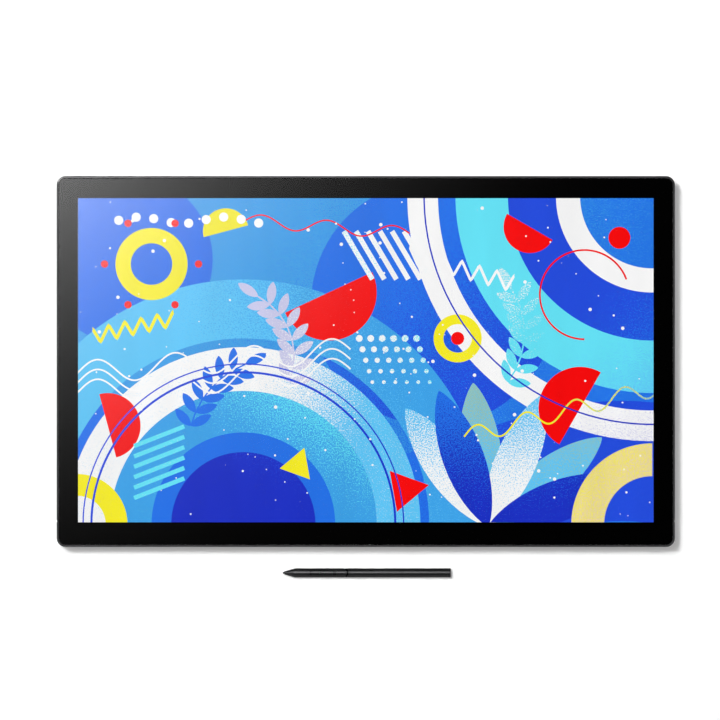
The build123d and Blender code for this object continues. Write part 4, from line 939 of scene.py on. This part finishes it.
@dataclass(frozen=True)
class ScrewCrosses:
    """Turns the round bores of the screw heads into cross recesses."""

    nodes: tuple[str, ...] = ("cover_screws", "bracket_screws", "board_screws", "frame_screws")
    bore_mm: float = 0.99
    arm_mm: float = 0.46
    point_mm: float = 0.16
    depth_mm: float = 0.64
    sink_mm: float = 0.03

    def build(self, dresser: Dresser) -> None:
        """Fill every head's bore, but for its cross.

        Args:
            dresser: Gives the crosses the material of their screws.
        """
        for node in self.nodes:
            lift = Vector((0.0, 0.0, (self.sink_mm + self.depth_mm / 2) * MM))
            places = [Vector(((low.x + high.x) / 2, (low.y + high.y) / 2, low.z)) + lift
                      for low, high in solid_boxes(node)]
            copies(self.quarters(), node + "_crosses", places, "display",
                   dresser.materials[dresser.slots[node]])

    def quarters(self) -> bpy.types.Object:
        """Model a plug of four quarters that leave a cross between them.

        Returns:
            The plug, at the origin.
        """
        inner = self.arm_mm / 2 * MM
        bpy.ops.object.select_all(action="DESELECT")
        bpy.ops.mesh.primitive_cylinder_add(vertices=32, radius=self.bore_mm * MM,
                                            depth=self.depth_mm * MM)
        edit()
        for normal in ((-1.0, 0.0, 0.0), (0.0, -1.0, 0.0)):
            bpy.ops.mesh.select_all(action="SELECT")
            bpy.ops.mesh.bisect(plane_co=(inner, inner, 0.0), plane_no=normal, use_fill=True,
                                clear_outer=True)
        bpy.ops.object.mode_set(mode="OBJECT")
        edit(lambda vertex: max(vertex.co.x, vertex.co.y) < inner + SNAP)
        bpy.ops.mesh.bevel(offset=self.point_mm * MM, segments=2, affect="EDGES")
        bpy.ops.mesh.select_all(action="SELECT")
        bpy.ops.mesh.spin(steps=3, dupli=True, angle=math.radians(270.0), center=(0, 0, 0),
                          axis=(0, 0, 1))
        bpy.ops.mesh.select_all(action="SELECT")
        bpy.ops.mesh.normals_make_consistent(inside=False)
        bpy.ops.object.mode_set(mode="OBJECT")
        return bpy.context.object


@dataclass(frozen=True)
class ContactRow:
    """Gilded contacts on both sides of the tongue in a socket.

    Attributes:
        node: The socket's node.
        count: Contacts on each side.
        pitch_mm: Distance between their middles.
        width_mm: Width of each.
        tongue_mm: Thickness of the tongue.
    """

    node: str
    count: int
    pitch_mm: float
    width_mm: float
    tongue_mm: float
    length_mm: float = 4.2
    inset_mm: float = 1.1
    thickness_mm: float = 0.05

    def build(self, gold: bpy.types.Material) -> None:
        """Lay the contacts on the tongue of each solid of the node.

        Args:
            gold: Their material.
        """
        places = []
        for low, high in solid_boxes(self.node):
            middle = (low + high) / 2
            y = high.y - (self.inset_mm + self.length_mm / 2) * MM
            for index in range(self.count):
                x = middle.x + self.pitch_mm * MM * (index - (self.count - 1) / 2)
                places += [Vector((x, y, middle.z + side * self.tongue_mm / 2 * MM))
                           for side in (-1, 1)]
        copies(self.strip(), self.node + "_contacts", places, "display", gold)

    def strip(self) -> bpy.types.Object:
        """Model one flat contact with broken edges.

        Returns:
            The contact, at the origin.
        """
        bpy.ops.object.select_all(action="DESELECT")
        bpy.ops.mesh.primitive_cube_add(size=MM, scale=(self.width_mm, self.length_mm,
                                                        self.thickness_mm))
        bpy.ops.object.transform_apply(location=False, rotation=False, scale=True)
        edit()
        bpy.ops.mesh.bevel(offset=self.thickness_mm / 4 * MM, segments=1, affect="EDGES")
        bpy.ops.object.mode_set(mode="OBJECT")
        return bpy.context.object


@dataclass(frozen=True)
class PowerMark:
    """Open ring with a stroke in its gap, printed on the power key."""

    radius_mm: float = 0.66
    line_mm: float = 0.16
    gap: float = 80.0
    stroke_share: float = 1.15
    stroke_start_share: float = 0.2
    stroke_steps: int = 4
    thickness_mm: float = 0.02

    def build(self, paint: bpy.types.Material) -> None:
        """Model the mark flat and stand it on the key's face.

        Args:
            paint: Its material.
        """
        low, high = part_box("power_button")
        face = Vector(((low.x + high.x) / 2, high.y, (low.z + high.z) / 2))
        ring = FlatShapes("power_mark", (Vector(), Vector()), 0.0, self.thickness_mm * MM)
        ring.arc((0.0, 0.0), self.radius_mm - self.line_mm / 2,
                 self.radius_mm + self.line_mm / 2, self.gap / 2 - 90.0, 360.0 - self.gap)
        length = self.radius_mm * self.stroke_share
        ring.ribbon(lambda s: (0.0, -length * (self.stroke_start_share + s)), self.line_mm,
                    self.stroke_steps)
        piece = ring.join()
        ring.thicken(piece)
        lift = Matrix.Translation(face + Vector((0.0, self.thickness_mm * MM, 0.0)))
        piece.data.transform(lift @ Matrix.Rotation(math.radians(-90.0), 4, "X"))
        coat(piece, paint)
        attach(piece, "power_key")


class Paint(Enum):
    """Colours of the picture on the screen."""

    SKY = srgb(64, 166, 238)
    LIGHT = srgb(96, 202, 252)
    AZURE = srgb(38, 118, 238)
    ROYAL = srgb(38, 78, 226)
    DEEP = srgb(30, 50, 200)
    CYAN = srgb(104, 232, 252)
    WHITE = srgb(255, 255, 255)
    RED = srgb(252, 10, 12)
    YELLOW = srgb(252, 242, 34)
    LILAC = srgb(206, 206, 240)
    SAGE = srgb(150, 200, 196)
    SAND = srgb(236, 214, 190)


@dataclass
class FlatShapes:
    """Flat shapes of one paint, cut off at the window of the screen.

    Attributes:
        name: Name of the piece that they become.
        window: Low and high corner of the screen's window.
        level_z: Height of the upper face.
        thickness: Thickness of the piece in metres.
        shapes: The shapes laid down so far.
    """

    ROUND: ClassVar[int] = 72
    LEAF_CORNERS: ClassVar[int] = 40
    LEAF_POINT: ClassVar[float] = 0.6
    ARC_STEP: ClassVar[float] = 3.0
    LEAST_STEPS: ClassVar[int] = 8
    MERGE: ClassVar[float] = 0.00001

    name: str
    window: tuple[Vector, Vector]
    level_z: float
    thickness: float
    shapes: list[bpy.types.Object] = field(default_factory=list)

    def keep(self, place: Place, turn: float = 0.0) -> None:
        """Turn the active object, lay it down in the window and keep it.

        Args:
            place: Where its origin goes, in millimetres from the window's middle.
            turn: Its turn about Z.
        """
        shape = bpy.context.object
        shape.rotation_euler = (0.0, 0.0, math.radians(turn))
        middle = (self.window[0] + self.window[1]) / 2
        shape.location = middle + Vector((place[0] * MM, place[1] * MM, 0.0))
        self.shapes.append(shape)

    @staticmethod
    def circle(corners: int, radius: float) -> bpy.types.Mesh:
        """Model a filled circle or regular polygon.

        Args:
            corners: Number of its corners.
            radius: Radius through them.

        Returns:
            Its mesh.
        """
        bpy.ops.object.select_all(action="DESELECT")
        bpy.ops.mesh.primitive_circle_add(vertices=corners, radius=radius, fill_type="NGON")
        return bpy.context.object.data

    def disc(self, place: Place, radius_mm: float, corners: int = ROUND,
             turn: float = 0.0) -> None:
        """Filled circle or regular polygon."""
        self.circle(corners, radius_mm * MM)
        self.keep(place, turn)

    def half_disc(self, place: Place, radius_mm: float, turn: float = 0.0) -> None:
        """Half of a filled circle, open side down before it is turned.

        Args:
            place: Middle of the whole circle.
            radius_mm: Its radius.
            turn: Its turn about Z.
        """
        self.circle(self.ROUND, radius_mm * MM)
        edit()
        bpy.ops.mesh.bisect(plane_co=(0, 0, 0), plane_no=(0, -1, 0), clear_outer=True)
        bpy.ops.object.mode_set(mode="OBJECT")
        self.keep(place, turn)

    def arc(self, place: Place, inner_mm: float, outer_mm: float, start: float = 0.0,
            sweep: float = 360.0) -> None:
        """Band of a ring, spun from one straight edge.

        Args:
            place: Middle of the ring.
            inner_mm: Inner radius.
            outer_mm: Outer radius.
            start: Angle at which the band starts.
            sweep: Angle that it covers.
        """
        width = (outer_mm - inner_mm) * MM
        bpy.ops.object.select_all(action="DESELECT")
        bpy.ops.mesh.primitive_plane_add(
            size=width, location=((inner_mm + outer_mm) / 2 * MM, width / 2, 0.0))
        bpy.ops.object.transform_apply(location=True, rotation=False, scale=False)
        edit(lambda vertex: vertex.co.y > width / 2)
        bpy.ops.mesh.delete(type="VERT")
        bpy.ops.mesh.select_all(action="SELECT")
        steps = max(self.LEAST_STEPS, int(sweep / self.ARC_STEP))
        bpy.ops.mesh.spin(steps=steps, angle=math.radians(sweep), center=(0, 0, 0),
                          axis=(0, 0, -1))
        bpy.ops.mesh.select_all(action="SELECT")
        bpy.ops.mesh.remove_doubles(threshold=self.MERGE)
        bpy.ops.object.mode_set(mode="OBJECT")
        self.keep(place, start)

    def ribbon(self, line: Line, width_mm: float, steps: int = ROUND) -> None:
        """Band of even width along a line.

        Args:
            line: Point of the middle line, in millimetres, for a share from 0 to 1.
            width_mm: Width of the band.
            steps: Number of stretches.
        """
        bpy.ops.object.select_all(action="DESELECT")
        bpy.ops.mesh.primitive_grid_add(x_subdivisions=steps, y_subdivisions=1, size=1.0)
        half_step = 0.5 / steps
        for vertex in bpy.context.object.data.vertices:
            share = vertex.co.x + 0.5
            along = (Vector(line(share + half_step)) - Vector(line(share - half_step))).normalized()
            side = Vector((-along.y, along.x))
            point = Vector(line(share)) + side * (width_mm * vertex.co.y)
            vertex.co = (point.x * MM, point.y * MM, 0.0)
        self.keep((0.0, 0.0))

    def leaf(self, place: Place, length_mm: float, width_mm: float, turn: float) -> None:
        """Pointed leaf.

        Args:
            place: Where its foot is.
            length_mm: Its length.
            width_mm: Its width.
            turn: Angle at which it points.
        """
        for vertex in self.circle(self.LEAF_CORNERS, 1.0).vertices:
            angle = math.atan2(vertex.co.y, vertex.co.x)
            along = (math.cos(angle) + 1) / 2 * length_mm
            bulge = math.sin(angle) * abs(math.sin(angle)) ** self.LEAF_POINT
            vertex.co = (along * MM, bulge * width_mm / 2 * MM, 0.0)
        self.keep(place, turn)

    def finish(self, material: bpy.types.Material) -> None:
        """Join the shapes, cut them at the window, and give them thickness and paint.

        Args:
            material: The paint.
        """
        piece = self.join()
        low, high = self.window
        edit()
        for corner, normal in ((low, (-1, 0, 0)), (low, (0, -1, 0)), (high, (1, 0, 0)),
                               (high, (0, 1, 0))):
            bpy.ops.mesh.select_all(action="SELECT")
            bpy.ops.mesh.bisect(plane_co=corner, plane_no=normal, clear_outer=True)
        bpy.ops.object.mode_set(mode="OBJECT")
        self.thicken(piece)
        coat(piece, material)
        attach(piece, "display")

    def join(self) -> bpy.types.Object:
        """Join the shapes as one flat piece under the layer's name.

        Returns:
            The piece.
        """
        bpy.ops.object.select_all(action="DESELECT")
        for shape in self.shapes:
            shape.select_set(True)
        bpy.context.view_layer.objects.active = self.shapes[0]
        bpy.ops.object.transform_apply(location=True, rotation=True, scale=True)
        if len(self.shapes) > 1:
            bpy.ops.object.join()
        piece = bpy.context.object
        piece.name = self.name
        piece.data.name = self.name
        return piece

    def thicken(self, piece: bpy.types.Object) -> None:
        """Turn a flat piece face up, lift it to its level and thicken it downwards.

        Args:
            piece: The flat piece.
        """
        for polygon in piece.data.polygons:
            if polygon.normal.z < 0:
                polygon.flip()
        rise = self.level_z - piece.data.vertices[0].co.z
        piece.data.transform(Matrix.Translation((0.0, 0.0, rise)))
        solid = piece.modifiers.new("thickness", "SOLIDIFY")
        solid.thickness = self.thickness
        solid.offset = -1.0
        bpy.ops.object.modifier_apply(modifier=solid.name)


def straight(start: Place, reach: Place) -> Line:
    """Straight line from a point, this far along x and y."""
    return lambda s: (start[0] + reach[0] * s, start[1] + reach[1] * s)


def wave(start: Place, reach: Place, height: float, turns: float) -> Line:
    """Wavy line from a point."""
    return lambda s: (start[0] + reach[0] * s,
                      start[1] + reach[1] * s + height * math.sin(math.tau * turns * s))


def zigzag(start: Place, reach: Place, height: float, turns: float) -> Line:
    """Zigzag line from a point."""
    return lambda s: (start[0] + reach[0] * s, start[1] + reach[1] * s
                      + height * (abs((turns * s) % 1 - 0.5) * 4 - 1))


@dataclass
class ScreenPicture:
    """The lit picture: thin layers of paint between the panel and the glass.

    Places in it are in millimetres from the middle of the screen.
    """

    RAINBOW_FOOT: ClassVar[Place] = (-112.0, -150.0)
    SWEEP_CORNER: ClassVar[Place] = (262.0, 150.0)
    SWEEP_TURNS: ClassVar[Place] = (175.0, 100.0)
    PETAL_FOOT: ClassVar[Place] = (112.0, -152.0)
    LEAF_MM: ClassVar[Place] = (21.0, 8.5)
    TIP_LEAF_MM: ClassVar[Place] = (22.0, 8.5)
    LEAF_TURNS: ClassVar[Place] = (-52.0, 52.0)
    STRETCH_MM: ClassVar[float] = 13.0
    STEM_MM: ClassVar[float] = 1.4

    cell_margin_mm: float = 4.0
    dark_edge_mm: float = 0.35
    gap_mm: float = 0.02
    step_mm: float = 0.0095
    thickness_mm: float = 0.006
    drop_seed: int = 7
    drop_count: int = 110
    level: int = 0

    @contextmanager
    def layer(self, name: str, first: Paint, second: Paint, *more: float,
              **finish: float) -> Iterator[FlatShapes]:
        """Start the next layer above the last one, and finish it once its shapes are laid.

        Args:
            name: The layer's name.
            first: Its first tone.
            second: Its second tone.
            more: Turn of the fade between them, and where it starts and ends.
            finish: Further values of the paint.

        Yields:
            The empty layer, a dark hair inside the sides of the border print.
        """
        low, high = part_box("lcd_cell")
        margin = Vector((self.cell_margin_mm + self.dark_edge_mm, self.cell_margin_mm, 0.0)) * MM
        window = (low + margin, high - margin)
        z = window[1].z + (self.gap_mm + self.step_mm * self.level) * MM
        self.level += 1
        shapes = FlatShapes("picture_" + name, window, z + self.thickness_mm * MM,
                            self.thickness_mm * MM)
        yield shapes
        shapes.finish(PaintedLight("paint_" + name, first.value, second.value, *more,
                                   **finish).material())

    def build(self) -> None:
        """Lay the picture down from its ground to its splashes."""
        self.backdrop()
        self.rainbow()
        self.corner_sweeps()
        self.petals()
        self.half_moons()
        self.rings()
        self.stripes()
        self.sprigs()
        self.lines()
        self.dots()
        self.splashes()

    def backdrop(self) -> None:
        """Sky-blue ground, two royal-blue discs and a rolling deep-blue hill."""
        with self.layer("ground", Paint.SKY, Paint.AZURE, -35.0, -160.0, 190.0, hardness=1.4,
                        speckles=0.1) as ground:
            ground.ribbon(straight((-290.0, 0.0), (580.0, 0.0)), 330.0)
        with self.layer("disc", Paint.AZURE, Paint.ROYAL, -50.0, -90.0, 120.0, hardness=2.2,
                        speckles=0.35) as disc:
            disc.disc((62.0, 52.0), 112.0)
            disc.disc((-218.0, 92.0), 78.0)
        with self.layer("hill", Paint.AZURE, Paint.ROYAL, 0.0, 20.0, 170.0, hardness=2.0,
                        speckles=0.2) as hill:
            hill.ribbon(lambda s: (-290.0 + 580.0 * s,
                                   -118.0 + 26.0 * math.sin(math.tau * (1.25 * s + 0.12))), 110.0)

    def rainbow(self) -> None:
        """Wide arches that rise from the lower edge."""
        with self.layer("arch_light", Paint.LIGHT, Paint.SKY, 20.0, -160.0, 60.0) as outer:
            outer.arc(self.RAINBOW_FOOT, 170.0, 224.0, 0.0, 180.0)
        with self.layer("arch_white", Paint.WHITE, Paint.LIGHT, -20.0, -90.0, 20.0,
                        hardness=1.8) as white:
            white.arc(self.RAINBOW_FOOT, 122.0, 162.0, 0.0, 180.0)
        with self.layer("arch_cyan", Paint.SKY, Paint.CYAN, 60.0, -120.0, 0.0) as inner:
            inner.arc(self.RAINBOW_FOOT, 84.0, 122.0, 0.0, 180.0)
        with self.layer("arch_core", Paint.DEEP, Paint.ROYAL, 70.0, -130.0, -20.0,
                        speckles=0.5) as core:
            core.half_disc(self.RAINBOW_FOOT, 66.0)

    def corner_sweeps(self) -> None:
        """Broad bands that sweep round the upper right corner."""
        with self.layer("sweep_cyan", Paint.CYAN, Paint.LIGHT, -60.0, 60.0, 190.0) as cyan:
            cyan.arc(self.SWEEP_CORNER, 132.0, 180.0, *self.SWEEP_TURNS)
        with self.layer("sweep_white", Paint.WHITE, Paint.LILAC, -80.0, 40.0, 190.0) as white:
            white.arc(self.SWEEP_CORNER, 196.0, 224.0, *self.SWEEP_TURNS)
            white.arc(self.SWEEP_CORNER, 66.0, 88.0, *self.SWEEP_TURNS)
        with self.layer("sweep_blue", Paint.ROYAL, Paint.AZURE, -40.0, 100.0, 260.0,
                        speckles=0.3) as blue:
            blue.arc(self.SWEEP_CORNER, 88.0, 132.0, *self.SWEEP_TURNS)

    def petals(self) -> None:
        """Fan of large pointed petals from the lower edge."""
        tones = (("petals_light", Paint.LIGHT, Paint.SAGE, (38.0, 96.0)),
                 ("petals_white", Paint.WHITE, Paint.LIGHT, (67.0, 125.0)),
                 ("petals_deep", Paint.DEEP, Paint.AZURE, (20.0, 110.0)))
        for name, first, second, turns in tones:
            with self.layer(name, first, second, 90.0, -130.0, 10.0) as fan:
                for turn in turns:
                    fan.leaf(self.PETAL_FOOT, 132.0, 38.0, turn)

    def half_moons(self) -> None:
        """Red half discs and a pennant."""
        with self.layer("half_moons", Paint.RED, Paint.RED, 30.0, streak_share=0.08,
                        speckles=0.12) as moons:
            moons.half_disc((-34.0, 62.0), 44.0, 205.0)
            moons.half_disc((196.0, -44.0), 38.0, 60.0)
            moons.half_disc((-236.0, -60.0), 30.0, 285.0)
            moons.half_disc((150.0, 122.0), 24.0, 150.0)
            moons.disc((36.0, -118.0), 22.0, corners=3, turn=40.0)

    def rings(self) -> None:
        """Yellow rings, quarter rings, a half disc and a pennant."""
        with self.layer("rings", Paint.YELLOW, Paint.SAND, -45.0, 20.0, 420.0,
                        streak_share=0.08) as rings:
            rings.arc((-196.0, 88.0), 19.0, 33.0)
            rings.arc((84.0, 20.0), 13.0, 22.0)
            rings.arc((262.0, -150.0), 44.0, 74.0, 90.0, 90.0)
            rings.half_disc((-128.0, 118.0), 21.0, 15.0)
            rings.disc((-62.0, -96.0), 17.0, corners=3, turn=100.0)
            rings.arc((-264.0, -150.0), 26.0, 46.0, 0.0, 90.0)

    def stripes(self) -> None:
        """Blocks of short parallel bars."""
        with self.layer("bars", Paint.CYAN, Paint.WHITE, 20.0, -40.0, 60.0) as bars:
            for index in range(7):
                bars.ribbon(straight((-20.0 + 11.0 * index, 118.0), (26.0, -44.0)), 4.6, 8)
            for index in range(6):
                bars.ribbon(straight((-212.0, -126.0 + 9.5 * index), (46.0, 18.0)), 4.0, 8)

    def sprigs(self) -> None:
        """Sprigs of small leaves in pairs along a bent stem."""
        sprigs = (("sprig_white", Paint.WHITE, Paint.LILAC, (-70.0, -20.0), 62.0, 12.0, 7),
                  ("sprig_azure", Paint.AZURE, Paint.ROYAL, (-160.0, -60.0), 80.0, -9.0, 6),
                  ("sprig_cyan", Paint.CYAN, Paint.WHITE, (130.0, -20.0), 48.0, 10.0, 7))
        for name, first, second, start, heading, bend, pairs in sprigs:
            last_heading = heading + bend * pairs
            with self.layer(name, first, second, last_heading, -60.0, 120.0) as sprig:
                self.stem(sprig, start, heading, bend, pairs)

    def stem(self, sprig: FlatShapes, place: Place, heading: float, bend: float,
             pairs: int) -> None:
        """Lay pairs of leaves along a stem, and one leaf at its tip.

        Args:
            sprig: The layer that they go into.
            place: Foot of the stem.
            heading: Angle at which it starts.
            bend: How far it turns after each pair.
            pairs: Number of the pairs.
        """
        for _ in range(pairs):
            for side in self.LEAF_TURNS:
                sprig.leaf(place, *self.LEAF_MM, heading + side)
            heading += bend
            ahead = math.radians(heading)
            after = (place[0] + self.STRETCH_MM * math.cos(ahead),
                     place[1] + self.STRETCH_MM * math.sin(ahead))
            reach = (after[0] - place[0], after[1] - place[1])
            sprig.ribbon(straight(place, reach), self.STEM_MM, 2)
            place = after
        sprig.leaf(place, *self.TIP_LEAF_MM, heading)

    def lines(self) -> None:
        """Thin waves, zigzags and rings."""
        with self.layer("lines_white", Paint.WHITE, Paint.WHITE) as white:
            for index in range(3):
                start = (-264.0, -30.0 + 9.0 * index)
                white.ribbon(wave(start, (250.0, 22.0), 11.0, 3.5), 1.5, 160)
            white.ribbon(zigzag((40.0, 96.0), (96.0, -26.0), 8.0, 6.0), 2.4, 120)
        with self.layer("lines_yellow", Paint.YELLOW, Paint.SAGE, 0.0, 150.0, 300.0) as yellow:
            yellow.ribbon(wave((90.0, -70.0), (180.0, 46.0), 8.0, 4.0), 1.6, 140)
            yellow.ribbon(zigzag((-250.0, 22.0), (74.0, 16.0), 7.0, 5.0), 3.0, 100)
        with self.layer("lines_red", Paint.RED, Paint.RED) as red:
            red.ribbon(wave((-110.0, 128.0), (150.0, -12.0), 6.0, 2.5), 1.3, 120)
            red.arc((200.0, 60.0), 40.0, 41.6, 20.0, 250.0)
        with self.layer("lines_blue", Paint.ROYAL, Paint.DEEP) as blue:
            blue.arc(self.RAINBOW_FOOT, 138.0, 140.0, 0.0, 180.0)
            blue.arc(self.RAINBOW_FOOT, 146.0, 147.2, 0.0, 180.0)
            blue.arc(self.SWEEP_CORNER, 208.0, 209.4, *self.SWEEP_TURNS)

    def dots(self) -> None:
        """Rasters of dots, and a few single ones."""
        with self.layer("dots_white", Paint.WHITE, Paint.CYAN, 10.0, -20.0, 120.0) as white:
            for row in range(5):
                for column in range(6):
                    place = (-6.0 + 10.5 * column + 3.0 * row, 20.0 - 10.0 * row)
                    white.disc(place, 3.1 - 0.35 * row, corners=24)
            for column in range(9):
                place = (-226.0 + 16.0 * column, 128.0 + 3.0 * math.sin(column * 1.3))
                white.disc(place, 4.2, corners=28)
        with self.layer("dots_red", Paint.RED, Paint.RED) as red:
            for index in range(6):
                angle = math.radians(60.0 * index)
                place = (-196.0 + 43.0 * math.cos(angle), 88.0 + 43.0 * math.sin(angle))
                red.disc(place, 3.4, corners=24)
            red.disc((84.0, 20.0), 6.0, corners=36)
            red.disc((232.0, 112.0), 10.0, corners=48)

    def splashes(self) -> None:
        """Scattered small drops of white."""
        chance = random.Random(self.drop_seed)
        with self.layer("drops", Paint.WHITE, Paint.WHITE) as drops:
            for _ in range(self.drop_count):
                place = (chance.uniform(-258.0, 258.0), chance.uniform(-143.0, 143.0))
                drops.disc(place, chance.choice((0.6, 0.8, 1.0, 1.6)), corners=12)


def main() -> None:
    """Build the scene in order."""
    logging.basicConfig(level=logging.INFO, format="%(message)s")
    Studio().build()
    dresser = Dresser()
    dresser.dress_nodes()
    ScrewCrosses().build(dresser)
    gold = CONTACT_GOLD.material()
    ContactRow("hdmi_socket", count=10, pitch_mm=1.0, width_mm=0.4, tongue_mm=1.4).build(gold)
    ContactRow("usb_c_sockets", count=12, pitch_mm=0.5, width_mm=0.25, tongue_mm=0.7).build(gold)
    PowerMark().build(MARK_PAINT.material())
    ScreenPicture().build()


if __name__ == "__main__":
    main()
